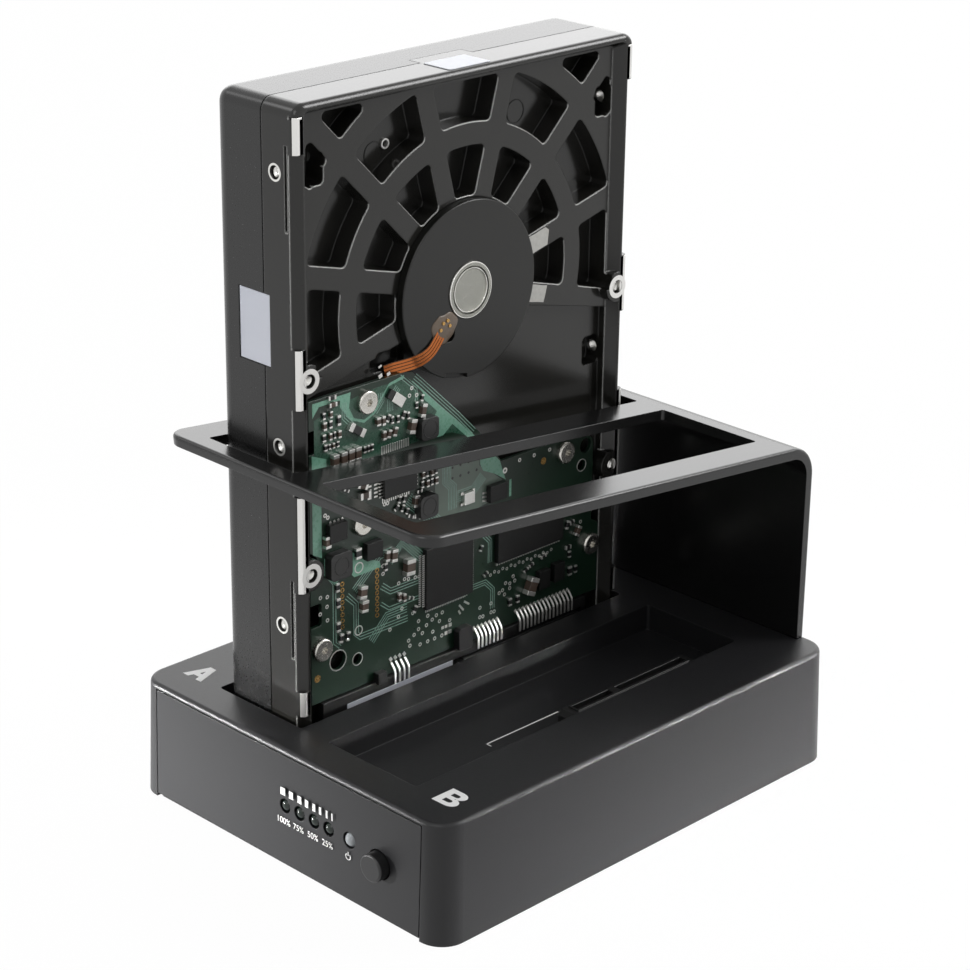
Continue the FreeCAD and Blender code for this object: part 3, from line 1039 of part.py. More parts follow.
def chip_leads(y0, y1, z0, z1, pitch, sides):
    """Gull-wing leads along the named sides of a chip."""
    leads, foot, wide, thick = [], 0.9, pitch * 0.45, 0.16
    x0 = PCB_X1 + 0.02
    if "z" in sides:
        count = int((y1 - y0 - 1.0) / pitch) + 1
        start = (y0 + y1 - (count - 1) * pitch) / 2
        for i in range(count):
            y = start + i * pitch
            leads.append(block(x0, x0 + thick + 0.35, y - wide / 2, y + wide / 2, z0 - foot, z0 - 0.01))
            leads.append(block(x0, x0 + thick + 0.35, y - wide / 2, y + wide / 2, z1 + 0.01, z1 + foot))
    if "y" in sides:
        count = int((z1 - z0 - 1.0) / pitch) + 1
        start = (z0 + z1 - (count - 1) * pitch) / 2
        for i in range(count):
            z = start + i * pitch
            leads.append(block(x0, x0 + thick + 0.35, y0 - foot, y0 - 0.01, z - wide / 2, z + wide / 2))
            leads.append(block(x0, x0 + thick + 0.35, y1 + 0.01, y1 + foot, z - wide / 2, z + wide / 2))
    return leads



def make_board_inductors():
    coils = []
    for place, z, wide in INDUCTORS:
        y, half = across(place), wide / 2
        coils.append(rounded_block(PCB_X1 + 0.05, PCB_X1 + 2.2, y - half, y + half, z - half, z + half, 1.1, (1, 0, 0)))
    return group(coils)


def make_board_regulators():
    """Small power packages and regulators on the drive's board."""
    return group([block(PCB_X1 + 0.05, PCB_X1 + 1.5, across(y) - w / 2, across(y) + w / 2, z - h / 2, z + h / 2)
                  for y, z, w, h in REGULATORS])


def make_sata_plug():
    """The connector block: a shelf across the drive's end, the data and power blades and a jumper well."""
    y0, y1 = PLUG_BODY
    x_back, x_face = -8.2, PCB_X1 + 0.9
    shelf = block(x_back, PCB_X0 - 0.1, y0, y1, 0.0, PLUG_TOP)
    lip = block(PCB_X0 - 0.2, x_face, y0, y1, PLUG_TOP - 4.4, PLUG_TOP)
    key = rounded_block(PCB_X1 + 0.1, PCB_X1 + 1.9, PLUG_Y - 20.6, PLUG_Y - 16.2, PLUG_TOP - 0.4, PLUG_TOP + 5.2, 0.8,
                        (1, 0, 0))
    peg = block(PCB_X1 + 0.1, PCB_X1 + 1.8, y0 + 15.8, y0 + 18.4, PLUG_TOP - 0.4, PLUG_TOP + 2.3)
    half_l = RECEPTACLE_L / 2 + RECEPTACLE_GAP
    top = BAY_DEPTH - RECEPTACLE_LOW + 0.25
    x_mid = -PLUG_IN
    mouth = block(x_mid - RECEPTACLE_T / 2 - RECEPTACLE_GAP, 1, PLUG_Y - half_l, PLUG_Y + half_l, -1, top)
    jumper = block(-7.2, -3.6, y0 + 13.4, y0 + 24.4, -1, 6.4)
    body = fuse([shelf, lip, key, peg]).cut(group([mouth, jumper]))
    blades = [block(x_mid - 0.62, x_mid + 0.55, PLUG_Y + a + 0.4, PLUG_Y + b - 0.4, 0.9, PLUG_TOP - 1.5)
              for a, b in RECEPTACLE_SLOTS]
    return fuse([body] + blades)


def make_plug_pins():
    """The connector's solder legs on the board: jumper, data and power."""
    legs = []
    wide, thick = 0.42, 0.3
    foot_x = PCB_X1 + 0.03
    for first, count, pitch in ((PLUG_BODY[0] + 21.0, 4, 1.27), (PLUG_Y - 13.8, 7, 1.27), (PLUG_Y + 0.2, 15, 1.27)):
        for i in range(count):
            y = first + i * pitch
            profile = [(foot_x, y - wide / 2, 13.2), (foot_x + thick, y - wide / 2, 13.2),
                       (foot_x + thick, y - wide / 2, 11.6), (foot_x + 1.15, y - wide / 2, 10.6),
                       (foot_x + 1.15, y - wide / 2, PLUG_TOP + 0.02), (foot_x + 0.85, y - wide / 2, PLUG_TOP + 0.02),
                       (foot_x + 0.85, y - wide / 2, 10.4), (foot_x, y - wide / 2, 11.4)]
            legs.append(prism(profile, (0, wide, 0)))
    return group(legs)


def make_motor_flex():
    """The flat copper lead: from the motor's gland over its flange and down under the board's upper edge."""
    on_flange, under_board, wide, thick = 0.04 - MOTOR_FACE, 0.3 - BOARD_SINK, 3.4, 0.2
    path = [(on_flange, -8.0, 87.7), (on_flange, -11.4, 84.4), (on_flange, -15.0, 82.9), (on_flange, -18.0, 82.4),
            (under_board + 1.2, -20.4, 81.9), (under_board, -22.6, 81.5), (under_board, -25.4, 80.9)]
    sections = []
    for i, (x, y, z) in enumerate(path):
        before, after = path[max(i - 1, 0)], path[min(i + 1, len(path) - 1)]
        dy, dz = after[1] - before[1], after[2] - before[2]
        sy, sz = -dz / math.hypot(dy, dz) * wide / 2, dy / math.hypot(dy, dz) * wide / 2
        corners = [V(x, y + sy, z + sz), V(x + thick, y + sy, z + sz), V(x + thick, y - sy, z - sz), V(x, y - sy, z - sz)]
        sections.append(Part.makePolygon(corners + [corners[0]]))
    return Part.makeLoft(sections, True, True)


def make_side_label():
    face = -DRIVE_W / 2 + STICKER_DEPTH
    return block(STICKER_X[0] + 0.2, STICKER_X[1] - 0.2, face - 0.16, face - 0.02, STICKER_Z[0] + 0.2, STICKER_Z[1] - 0.2)


def make_end_label():
    """The sticker on the drive's upper end, up to the rounded edge."""
    return rounded_block(0.6 - CAST_T, -BOARD_EDGE_R, -6.0, 6.4, DRIVE_H + 0.02, DRIVE_H + 0.14, 0.6)


def make_plug_label():
    x = PCB_X1 + 0.92
    return block(x, x + 0.12, PLUG_BODY[0] + 7.0, PLUG_Y - 21.8, PLUG_TOP - 4.0, PLUG_TOP - 2.3)


def make_lid_label():
    """The paper label on the cover, in its recess."""
    x, inset = LABEL_SINK - DRIVE_T, 2.0
    return rounded_block(x - 0.14, x - 0.02, LABEL_Y[0] + inset, LABEL_Y[1] - inset, LABEL_Z[0] + inset,
                         LABEL_Z[1] - inset, 2.0, (1, 0, 0))


# ---------------------------------------------------------------- write one file per node
def build():
    """Every node's shape by its name."""
    nodes = {
        "top_shell": make_top_shell(),
        "front_panel": make_front_panel(),
        "bottom_cover": make_bottom_cover(),
        "rubber_feet": make_rubber_feet(),
        "case_screws": make_case_screws(),
        "drive_holder": make_drive_holder(),
        "usb_port": make_usb_port(),
        "dc_jack": make_dc_jack(),
        "switch_frame": make_switch_frame(),
        "power_rocker": make_power_rocker(),
        "main_board": make_main_board(),
        "main_board_screws": make_main_board_screws(),
        "front_board": make_front_board(),
        "board_header": make_board_header(),
        "bridge_chip": make_bridge_chip(),
        "board_components": make_board_components(),
        "sata_receptacle_a": make_receptacle(BAYS["a"]),
        "sata_receptacle_b": make_receptacle(BAYS["b"]),
        "receptacle_contacts": make_receptacle_contacts(),
        "copy_button": make_copy_button(),
        "push_switch": make_push_switch(),
        "drive_casting": placed(make_drive_casting()),
        "lid_gasket": placed(make_gasket()),
        "drive_lid": placed(make_drive_lid()),
        "lid_screws": placed(make_lid_screws()),
        "lid_label": placed(make_lid_label()),
        "motor_base": placed(make_motor_base()),
        "spindle_cap": placed(make_spindle_cap()),
        "spindle_hub": placed(make_spindle_hub()),
        "platter": placed(make_platter()),
        "platter_clamp": placed(make_platter_clamp()),
        "head_arm": placed(make_head_arm()),
        "pivot_bearing": placed(make_pivot_bearing()),
        "drive_board": placed(make_drive_board()),
        "drive_board_screws": placed(make_board_screws()),
        "board_inductors": placed(make_board_inductors()),
        "board_regulators": placed(make_board_regulators()),
        "sata_plug": placed(make_sata_plug()),
        "plug_pins": placed(make_plug_pins()),
        "motor_flex": placed(make_motor_flex()),
        "side_label": placed(make_side_label()),
        "end_label": placed(make_end_label()),
        "plug_label": placed(make_plug_label()),
    }
    for i, (x, radius, _) in enumerate(lamp_places()):
        name = "power_lamp" if i == LAMP_COUNT else f"progress_lamp_{i + 1}"
        nodes[name] = make_lamp(x, radius)
    yoke_near, yoke_far = make_magnet_yokes()
    nodes["magnet_yoke_near"] = placed(yoke_near)
    nodes["magnet_yoke_far"] = placed(yoke_far)
    for name, ends, sides in (("controller", CONTROLLER_CHIP, "yz"), ("memory", MEMORY_CHIP, "z"),
                              ("motor_driver", MOTOR_CHIP, "y")):
        place = (across(ends[0]), across(ends[1]), ends[2], ends[3])
        nodes[name + "_chip"] = placed(chip(*place, CHIP_H))
        nodes[name + "_leads"] = placed(group(chip_leads(*place, CHIP_PITCH, sides)))
    return nodes


os.makedirs("parts", exist_ok=True)
for node_name, node_shape in build().items():
    node_shape.exportStep(f"parts/{node_name}.step")
    state = "ok" if node_shape.isValid() else "INVALID"
    print(f"{node_name:22s} {state} solids {len(node_shape.Solids):3d} volume {node_shape.Volume:10.1f}")
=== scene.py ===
"""Two-bay drive duplicator: the studio, the finishes and the fine detail on the solid model."""
import json
import math
import bmesh
import bpy
from mathutils import Matrix, Vector


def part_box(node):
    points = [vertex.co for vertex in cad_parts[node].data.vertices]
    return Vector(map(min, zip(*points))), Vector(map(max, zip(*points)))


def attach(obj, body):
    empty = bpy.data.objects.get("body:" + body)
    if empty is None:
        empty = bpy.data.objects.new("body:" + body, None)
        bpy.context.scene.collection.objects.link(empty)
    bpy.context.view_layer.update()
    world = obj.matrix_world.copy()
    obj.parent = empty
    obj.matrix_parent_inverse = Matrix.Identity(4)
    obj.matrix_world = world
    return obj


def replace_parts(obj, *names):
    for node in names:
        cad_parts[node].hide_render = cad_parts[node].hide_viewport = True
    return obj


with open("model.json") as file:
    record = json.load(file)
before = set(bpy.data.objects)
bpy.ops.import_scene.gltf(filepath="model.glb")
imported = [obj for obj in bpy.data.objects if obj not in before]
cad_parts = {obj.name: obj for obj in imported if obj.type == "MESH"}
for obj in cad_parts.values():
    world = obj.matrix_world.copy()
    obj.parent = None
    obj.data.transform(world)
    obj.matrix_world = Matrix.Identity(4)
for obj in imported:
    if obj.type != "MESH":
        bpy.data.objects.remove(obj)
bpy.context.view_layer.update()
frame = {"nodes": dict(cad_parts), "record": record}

MM = 0.001
PRINT = 0.02 * MM                                   # printing ink stands this far above the plastic
CAPITAL_SHARE = 0.72                                # height of a capital in the lettering's size
DRIFT_MM = 35                                       # a moulding's colour drifts over patches of this size
X, Y, Z = Vector((1, 0, 0)), Vector((0, 1, 0)), Vector((0, 0, 1))


# ---------------------------------------------------------------- finishes
def srgb(code):
    """A hex colour as linear red, green, blue and alpha."""
    channels = [int(code[i:i + 2], 16) / 255 for i in (1, 3, 5)]
    return [c / 12.92 if c <= 0.04045 else ((c + 0.055) / 1.055) ** 2.4 for c in channels] + [1.0]


def add(material, kind, settings=None, inputs=None):
    """Adds a node with its settings; an input is a value or a socket to link from."""
    tree = material.node_tree
    node = tree.nodes.new(kind)
    for name, value in (settings or {}).items():
        setattr(node, name, value)
    for name, value in (inputs or {}).items():
        if isinstance(value, bpy.types.NodeSocket):
            tree.links.new(value, node.inputs[name])
        else:
            node.inputs[name].default_value = value
    return node


def new_material(name):
    """An empty material and its output node."""
    material = bpy.data.materials.new(name)
    material.use_nodes = True
    material.node_tree.nodes.clear()
    return material, add(material, "ShaderNodeOutputMaterial")


HIGHLIGHT_FACING = (0, -0.45, 0.89)                        # painted highlight: the edges turned this way, the upper, outward ones, are painted near white


def lip_highlight_share(material, edge):
    """How strongly the painted highlight lies on the casting's web: 0 on its faces, 1 on its upper, outward
    lips.
    """
    surface = add(material, "ShaderNodeNewGeometry")
    depth = add(material, "ShaderNodeSeparateXYZ", None, {"Vector": surface.outputs["Position"]}).outputs["X"]
    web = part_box("drive_casting")[1].x - 2 * MM
    limits = [(depth, web + 0.3 * MM, web), (depth, web - 1.6 * MM, web - 1.3 * MM)]
    for vector, none, whole in ((surface.outputs["True Normal"], 0.99, 0.9), (HIGHLIGHT_FACING, 0.12, 0.35)):
        along = add(material, "ShaderNodeVectorMath", {"operation": "DOT_PRODUCT"},
                    {0: edge.outputs["Normal"], 1: vector})
        limits.append((along.outputs["Value"], none, whole))
    share = 1.0
    for value, none, whole in limits:
        part = add(material, "ShaderNodeMapRange", None,
                   {"Value": value, "From Min": none, "From Max": whole})
        share = add(material, "ShaderNodeMath", {"operation": "MULTIPLY"},
                    {0: share, 1: part.outputs["Result"]}).outputs[0]
    return share


def moulded(name, colour, worn, grain_mm, bump_mm, roughness, coat=0.0, specular=0.5, spread=0.06,
            edge_mm=0.25, lips=None):
    """Moulded or painted surface: fine even texture, slight colour drift, edges rounded as by a mould.

    Lips is the near-white colour painted onto the casting's upper, outward edges as a highlight."""
    material, output = new_material(name)
    place = add(material, "ShaderNodeTexCoord").outputs["Object"]
    grain = add(material, "ShaderNodeTexNoise", None,
                {"Vector": place, "Scale": 1 / (grain_mm * MM), "Detail": 3.0, "Roughness": 0.6})
    drift = add(material, "ShaderNodeTexNoise", None,
                {"Vector": place, "Scale": 1 / (DRIFT_MM * MM), "Detail": 2.0})
    tint = add(material, "ShaderNodeMix", {"data_type": "RGBA"},
               {"Factor": drift.outputs["Fac"], "A": srgb(colour), "B": srgb(worn)})
    gloss = add(material, "ShaderNodeMapRange", None,
                {"Value": grain.outputs["Fac"], "To Min": roughness - spread, "To Max": roughness + spread})
    edge = add(material, "ShaderNodeBevel", {"samples": 4}, {"Radius": edge_mm * MM})
    bump = add(material, "ShaderNodeBump", None,
               {"Height": grain.outputs["Fac"], "Distance": bump_mm * MM, "Strength": 1.0,
                "Normal": edge.outputs["Normal"]})
    # painted highlight: the lip colour is mixed onto the upper, outward edges of the casting's web
    if lips:
        tint = add(material, "ShaderNodeMix", {"data_type": "RGBA"},
                   {"Factor": lip_highlight_share(material, edge), "A": tint.outputs["Result"], "B": srgb(lips)})
    shader = add(material, "ShaderNodeBsdfPrincipled", None,
                 {"Base Color": tint.outputs["Result"], "Roughness": gloss.outputs["Result"],
                  "Normal": bump.outputs["Normal"], "Coat Weight": coat, "Coat Roughness": 0.12,
                  "Specular IOR Level": specular})
    material.node_tree.links.new(shader.outputs[0], output.inputs["Surface"])
    return material


def metal(name, colour, roughness, grain_mm, stretch=(1, 1, 1), bump_mm=0.004, stain="#000000"):
    """Bare or plated metal: a fine grain in gloss and bump, and a little tarnish in the colour."""
    material, output = new_material(name)
    place = add(material, "ShaderNodeTexCoord").outputs["Object"]
    spread = add(material, "ShaderNodeMapping", None, {"Vector": place, "Scale": stretch})
    grain = add(material, "ShaderNodeTexNoise", None,
                {"Vector": spread.outputs["Vector"], "Scale": 1 / (grain_mm * MM), "Detail": 4.0})
    tarnish = add(material, "ShaderNodeMapRange", None,
                  {"Value": grain.outputs["Fac"], "To Min": 0.0, "To Max": 0.25})
    tint = add(material, "ShaderNodeMix", {"data_type": "RGBA"},
               {"Factor": tarnish.outputs["Result"], "A": srgb(colour), "B": srgb(stain)})
    gloss = add(material, "ShaderNodeMapRange", None,
                {"Value": grain.outputs["Fac"], "To Min": roughness - 0.08, "To Max": roughness + 0.08})
    bump = add(material, "ShaderNodeBump", None, {"Height": grain.outputs["Fac"], "Distance": bump_mm * MM})
    shader = add(material, "ShaderNodeBsdfPrincipled", None,
                 {"Base Color": tint.outputs["Result"], "Metallic": 1.0, "Roughness": gloss.outputs["Result"],
                  "Normal": bump.outputs["Normal"]})
    material.node_tree.links.new(shader.outputs[0], output.inputs["Surface"])
    return material


# Spark-eroded tool texture in ABS breaks the light into a soft grey sheen. Its real grit of about 0.1 mm is
# too fine to show, so it is drawn at 0.35 mm, and at 0.3 mm on the panel, whose tool is finer.
CASE_ABS = moulded("abs_spark_textured_black", "#141415", "#18181A", 0.35, 0.025, 0.4, specular=0.36)
PANEL_ABS = moulded("abs_fine_textured_black", "#141416", "#18181A", 0.3, 0.02, 0.4, specular=0.38)
# ABS from a polished tool: the holder mirrors the room softly.
HOLDER_ABS = moulded("abs_polished_black", "#0B0B0B", "#0F0F0F", 0.6, 0.003, 0.24, spread=0.03)
# Electrocoat over a die casting: thin, even, slightly brown black with a satin sheen, and a near-white painted
# highlight on its upper, outward lips.
CAST_PAINT = moulded("electrocoated_die_casting", "#1A1A18", "#201F1C", 0.5, 0.003, 0.17, specular=0.42,
                     spread=0.03, edge_mm=0.5, lips="#F0F0EC")
# Gloss paint on a pressed steel cover: level and black, with long clean reflections.
COVER_PAINT = moulded("gloss_painted_steel_cover", "#0D0D0D", "#121212", 0.5, 0.002, 0.27, spread=0.02)
# Solder mask looks wet. It is dark green over bare laminate and paler the more copper lies under it.
MASK_GREEN = moulded("solder_mask_over_laminate", "#0B2014", "#11291B", 0.8, 0.003, 0.3)
DENSE_GREEN = moulded("solder_mask_over_dense_tracks", "#284A3A", "#325644", 0.8, 0.003, 0.28)
DENSE_OLIVE = moulded("solder_mask_over_ground_mesh", "#5B6A5F", "#67756A", 0.8, 0.003, 0.3)
MASK_COPPER = moulded("solder_mask_over_copper", "#6A9B84", "#76A690", 0.8, 0.003, 0.28)
TRACK_GREEN = moulded("solder_mask_over_tracks", "#7C9F90", "#8AAB9D", 0.8, 0.003, 0.28)
# Plated tin is a soft silver, gold flash a warm yellow, and solder frozen on a lead a frosted pale grey.
TIN = metal("tin_plated_copper", "#E4E3DF", 0.38, 0.3, bump_mm=0.01)
GOLD = metal("gold_flashed_copper", "#C9A062", 0.28, 0.3)
LEAD = moulded("frosted_solder_on_leads", "#D4D4CF", "#DEDEDA", 0.3, 0.01, 0.45)
# Moulded epoxy is a dead black with a dull sheen, fired ceramic a matt brown, and glaze a black that glints.
CHIP_EPOXY = moulded("moulded_chip_epoxy", "#0D0D0D", "#131312", 0.25, 0.008, 0.4, specular=0.36)
CERAMIC = moulded("fired_brown_ceramic", "#3E322B", "#594A3F", 0.4, 0.004, 0.4)
RESISTOR = moulded("black_glazed_resistor", "#151515", "#1D1D1C", 0.3, 0.004, 0.3)
# Milled after painting, so the bare alloy shows nearly white with fine cutter marks.
MILLED = metal("milled_bare_aluminium", "#E9E8E5", 0.42, 0.25, (1, 1, 8), 0.006)
# Light grey metal patches on the casting's web are a painted reflection of the light that the paint there
# catches.
PAINTED_REFLECTION_METAL = metal("light_grey_painted_reflection", "#B5B4B0", 0.5, 0.6, bump_mm=0.01)
# A cut thread shows bright crests in a dark hole.
THREAD_METAL = metal("tapped_bare_aluminium", "#EDECE8", 0.3, 0.2)
# Turned and polished steel draws one thin bright ring; brushed round, the cap spreads it into a soft glow.
TURNED_LIP = metal("turned_and_polished_steel", "#F0EFEA", 0.16, 0.2)
CAP_STEEL = metal("brushed_spindle_steel", "#A2A29B", 0.3, 0.5, (1, 1, 9), 0.08, "#1A1A18")
# Copper seen through amber film: glossy orange, darker in streaks along the strip.
COPPER_STRIP = metal("copper_under_polyimide", "#B4693A", 0.2, 0.4, (1, 6, 1), 0.004, "#4A2412")
# Adhesive that cured as a drop: cloudy amber brown under a clear skin.
CURED_GLUE = moulded("cured_amber_adhesive", "#4A3E33", "#6A5A49", 1.5, 0.02, 0.35, coat=0.2)
# Screen print: flat, slightly chalky white ink with the grain of the plastic under it.
WHITE_INK = moulded("screen_printed_white", "#E6E6E4", "#EEEEEC", 0.3, 0.004, 0.55)

FINISHES = {
    "case_abs": CASE_ABS,
    "panel_abs": PANEL_ABS,
    "holder_abs": HOLDER_ABS,
    # What fingers press comes from smoother tools, so it shines a little more than the case round it.
    "rocker_abs": moulded("abs_rocker_black", "#101010", "#151515", 0.5, 0.001, 0.3, spread=0.02),
    "button_abs": moulded("abs_button_black", "#111112", "#151516", 0.4, 0.012, 0.36),
    # Rubber takes the light without a highlight.
    "foot_rubber": moulded("moulded_rubber", "#171717", "#202020", 0.5, 0.02, 0.8),
    "gasket_rubber": moulded("foam_rubber_gasket", "#101010", "#161616", 0.4, 0.02, 0.8),
    # Screws: black zinc glints darkly, nickel is bright with a warm cast.
    "black_steel": metal("black_zinc_screw_steel", "#2B2B2D", 0.35, 0.4),
    "nickel_steel": metal("nickel_plated_steel", "#D6D3CC", 0.25, 0.4),
    # Turning marks run round and stretch the highlights across them.
    "turned_steel": metal("turned_stainless_steel", "#C4C4BE", 0.24, 0.2, (1, 1, 5)),
    "turned_aluminium": metal("machined_aluminium", "#D2D3D5", 0.25, 0.2),
    # The motor's flange is dipped like the casting, but smoother and blacker.
    "motor_steel": moulded("electrocoated_motor_steel", "#0F0F0D", "#141411", 0.3, 0.006, 0.3, specular=0.4),
    "lid_steel": COVER_PAINT,
    "painted_casting": CAST_PAINT,
    # Drawn cans are satin; the platter is a mirror.
    "can_aluminium": metal("drawn_aluminium_can", "#C8C9CC", 0.3, 0.3),
    "platter_mirror": metal("polished_disc", "#E6E6E8", 0.08, 0.5, bump_mm=0.0005),
    # The boards inside the case are a brighter green than the drive's.
    "green_laminate": moulded("solder_masked_glass_epoxy", "#123823", "#184630", 0.4, 0.004, 0.3),
    "drive_laminate": MASK_GREEN,
    "chip_epoxy": CHIP_EPOXY,
    # Ferrite is a greyer, grainier black than epoxy; filled nylon shows a fine speckled sheen.
    "ferrite": moulded("sintered_ferrite", "#1C1C1C", "#282827", 0.3, 0.01, 0.4),
    "black_nylon": moulded("glass_filled_nylon", "#0E0E0E", "#141414", 0.3, 0.01, 0.36),
    "gold_plate": GOLD,
    "tin_plate": TIN,
    # Film over copper: dark amber, glossy.
    "copper_flex": moulded("polyimide_over_copper", "#3A2414", "#4A2E18", 0.6, 0.004, 0.3),
    # Coated paper is a cool white with a faint sheen.
    "label_paper": moulded("coated_label_paper", "#CDD1DB", "#DADCE0", 3.0, 0.004, 0.4),
    # Unlit lamps: a near-black green drop and a milky grey one, each with a clear highlight.
    "green_lens": moulded("green_epoxy_dome", "#08130E", "#0C1B13", 0.6, 0.001, 0.1),
    "clear_lens": moulded("milky_epoxy_dome", "#85898B", "#909496", 0.6, 0.001, 0.12),
}
# Nodes finished otherwise than the rest of their kind: the lid's paper is matt and greyer, and the side's
# label is laminated and whiter.
OWN_FINISHES = {
    "spindle_cap": CAP_STEEL,
    "lid_label": moulded("matt_label_paper", "#8E9195", "#999B9F", 3.0, 0.004, 0.6),
    "side_label": moulded("laminated_label_paper", "#E0E4EF", "#E9ECF3", 3.0, 0.004, 0.4),
}
slot_of = {part["node"]: part["material_slot"] for part in frame["record"]["subparts"]}
for name, node in frame["nodes"].items():
    node.data.materials.clear()
    node.data.materials.append(OWN_FINISHES.get(name) or FINISHES[slot_of[name]])

# ---------------------------------------------------------------- studio: camera, floor, lamps and sky
case_low, case_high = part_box("top_shell")
CASE_TOP = case_high.z
CASE_MID = (case_low.y + case_high.y) / 2
CAMERA_AT = Vector((392.64 * MM, CASE_MID - 397.98 * MM, CASE_TOP + 270.34 * MM))
AZIMUTH, ELEVATION, ROLL = math.radians(44.79), math.radians(21.91), math.radians(0.77)
SENSOR_MM, LENS_MM = 36.0, 99.51
LENS_SHIFT = (-0.00025, -0.00716)
back = Vector((math.sin(AZIMUTH) * math.cos(ELEVATION), -math.cos(AZIMUTH) * math.cos(ELEVATION),
               math.sin(ELEVATION)))
right = Vector((math.cos(AZIMUTH), math.sin(AZIMUTH), 0))
up = back.cross(right)
right, up = (right * math.cos(ROLL) + up * math.sin(ROLL), up * math.cos(ROLL) - right * math.sin(ROLL))
lens = bpy.data.cameras.new("camera")
lens.sensor_width = SENSOR_MM
lens.lens = LENS_MM
lens.shift_x, lens.shift_y = LENS_SHIFT
camera = bpy.data.objects.new("camera", lens)
camera.matrix_world = Matrix.Translation(CAMERA_AT) @ Matrix((right, up, back)).transposed().to_4x4()
bpy.context.scene.collection.objects.link(camera)
bpy.context.scene.camera = camera
bpy.context.scene.view_settings.view_transform = "Standard"


def area_lamp(name, at, towards, size, power, spread=180):
    """A soft rectangular lamp aimed at a point; a small spread keeps its light in a narrow beam."""
    data = bpy.data.lights.new(name, "AREA")
    data.spread = math.radians(spread)
    data.shape, data.size, data.size_y, data.energy = "RECTANGLE", size[0], size[1], power
    lamp = bpy.data.objects.new(name, data)
    lamp.location = at
    lamp.rotation_euler = (Vector(at) - Vector(towards)).to_track_quat("Z", "Y").to_euler()
    bpy.context.scene.collection.objects.link(lamp)


# Two low narrow beams, in metres and watts, light the case's front and right side without reaching the board.
area_lamp("lamp_left", (-0.62, -0.6, 0.05), (-0.13, -0.06, 0.0), (0.2, 0.06), 0.26, 10)
area_lamp("lamp_right", (0.62, 0.72, 0.06), (0.05, 0.1, -0.025), (0.2, 0.06), 0.3, 9)
# The large lamp behind gives the upper faces their sheen, and the high right one their bright edges.
area_lamp("lamp_behind", (-0.78, 1.07, 0.62), (0, 0, 0.1), (2.2, 0.9), 10.5)
area_lamp("lamp_right_high", (0.6, 0.83, 0.83), (0, 0, 0.12), (0.6, 0.45), 10)
# Two weak ones fill the shadows.
area_lamp("lamp_front", (0.25, -0.7, 0.75), (0, 0, 0.1), (0.4, 0.4), 1.6)
area_lamp("lamp_left_high", (-0.8, -0.46, 0.8), (0, 0, 0.1), (0.25, 0.25), 0.5)


def white_where_seen(material, lit, share):
    """Mixes in a white that only the camera, mirrors and glass see."""
    path = add(material, "ShaderNodeLightPath")
    seen = path.outputs["Is Camera Ray"]
    for other in ("Is Glossy Ray", "Is Transmission Ray"):
        seen = add(material, "ShaderNodeMath", {"operation": "MAXIMUM"},
                   {0: seen, 1: path.outputs[other]}).outputs[0]
    part = add(material, "ShaderNodeMath", {"operation": "MULTIPLY"}, {0: seen, 1: share})
    white = add(material, "ShaderNodeEmission", None, {"Color": (1, 1, 1, 1), "Strength": 1.0})
    return add(material, "ShaderNodeMixShader", None, {"Fac": part.outputs[0], 1: lit, 2: white.outputs[0]})


# Matt white paper: all but pure white to the eye, with the object's own shadow left on it.
paper, output = new_material("white_paper_floor")
lit = add(paper, "ShaderNodeBsdfDiffuse", None, {"Color": srgb("#F2F2F2")})
paper.node_tree.links.new(white_where_seen(paper, lit.outputs[0], 0.98).outputs[0], output.inputs["Surface"])
FLOOR_REACH = 4                                     # metres from the middle to each edge
mesh = bpy.data.meshes.new("floor")
corners = [(x * FLOOR_REACH, y * FLOOR_REACH, 0) for x, y in ((-1, -1), (1, -1), (1, 1), (-1, 1))]
mesh.from_pydata(corners, [], [(0, 1, 2, 3)])
mesh.materials.append(paper)
floor = bpy.data.objects.new("floor", mesh)
bpy.context.scene.collection.objects.link(floor)

world = bpy.data.worlds.new("studio_sky")
world.use_nodes = True
world.node_tree.nodes.clear()
sky = add(world, "ShaderNodeBackground", None, {"Color": (0.32, 0.32, 0.33, 1), "Strength": 1.0})
end = add(world, "ShaderNodeOutputWorld")
world.node_tree.links.new(white_where_seen(world, sky.outputs[0], 1.0).outputs[0], end.inputs["Surface"])
bpy.context.scene.world = world


# ---------------------------------------------------------------- mesh helpers
def piece(name, body, finish, bm, bevel_mm=0.0, smooth=False):
    """Turns a bmesh into a named piece of the object that rides on a body of the model."""
    bmesh.ops.recalc_face_normals(bm, faces=bm.faces)
    mesh = bpy.data.meshes.new(name)
    bm.to_mesh(mesh)
    bm.free()
    mesh.materials.append(finish)
    if smooth:
        mesh.shade_smooth()
    obj = bpy.data.objects.new(name, mesh)
    bpy.context.scene.collection.objects.link(obj)
    if bevel_mm:
        soft = obj.modifiers.new("soft_edges", "BEVEL")
        soft.width, soft.segments, soft.limit_method = bevel_mm * MM, 2, "ANGLE"
    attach(obj, body)
    return obj


def slab(bm, outline, out):
    """Adds a flat plate: an outline of points and how far, and which way, it stands out."""
    low = [bm.verts.new(p) for p in outline]
    high = [bm.verts.new(p + out) for p in outline]
    bm.faces.new(low)
    bm.faces.new(high)
    for i in range(len(low)):
        j = (i + 1) % len(low)
        bm.faces.new((low[i], low[j], high[j], high[i]))


def washer(bm, centre, across, along, out, outer, inner, turn=(0, 360), steps=20):
    """Adds a flat ring, or a sector of one, standing out from a surface."""
    start, stop = math.radians(turn[0]), math.radians(turn[1])
    whole = turn[1] - turn[0] >= 360
    rows = []
    for i in range(steps if whole else steps + 1):
        angle = start + (stop - start) * i / steps
        way = across * math.cos(angle) + along * math.sin(angle)
        rows.append([bm.verts.new(p) for p in (centre + way * inner, centre + way * outer,
                                               centre + way * outer + out, centre + way * inner + out)])
    for i in range(len(rows) if whole else len(rows) - 1):
        a, b = rows[i], rows[(i + 1) % len(rows)]
        for k in range(4):
            bm.faces.new((a[k], a[(k + 1) % 4], b[(k + 1) % 4], b[k]))
    if not whole:
        bm.faces.new(rows[0])
        bm.faces.new(rows[-1])


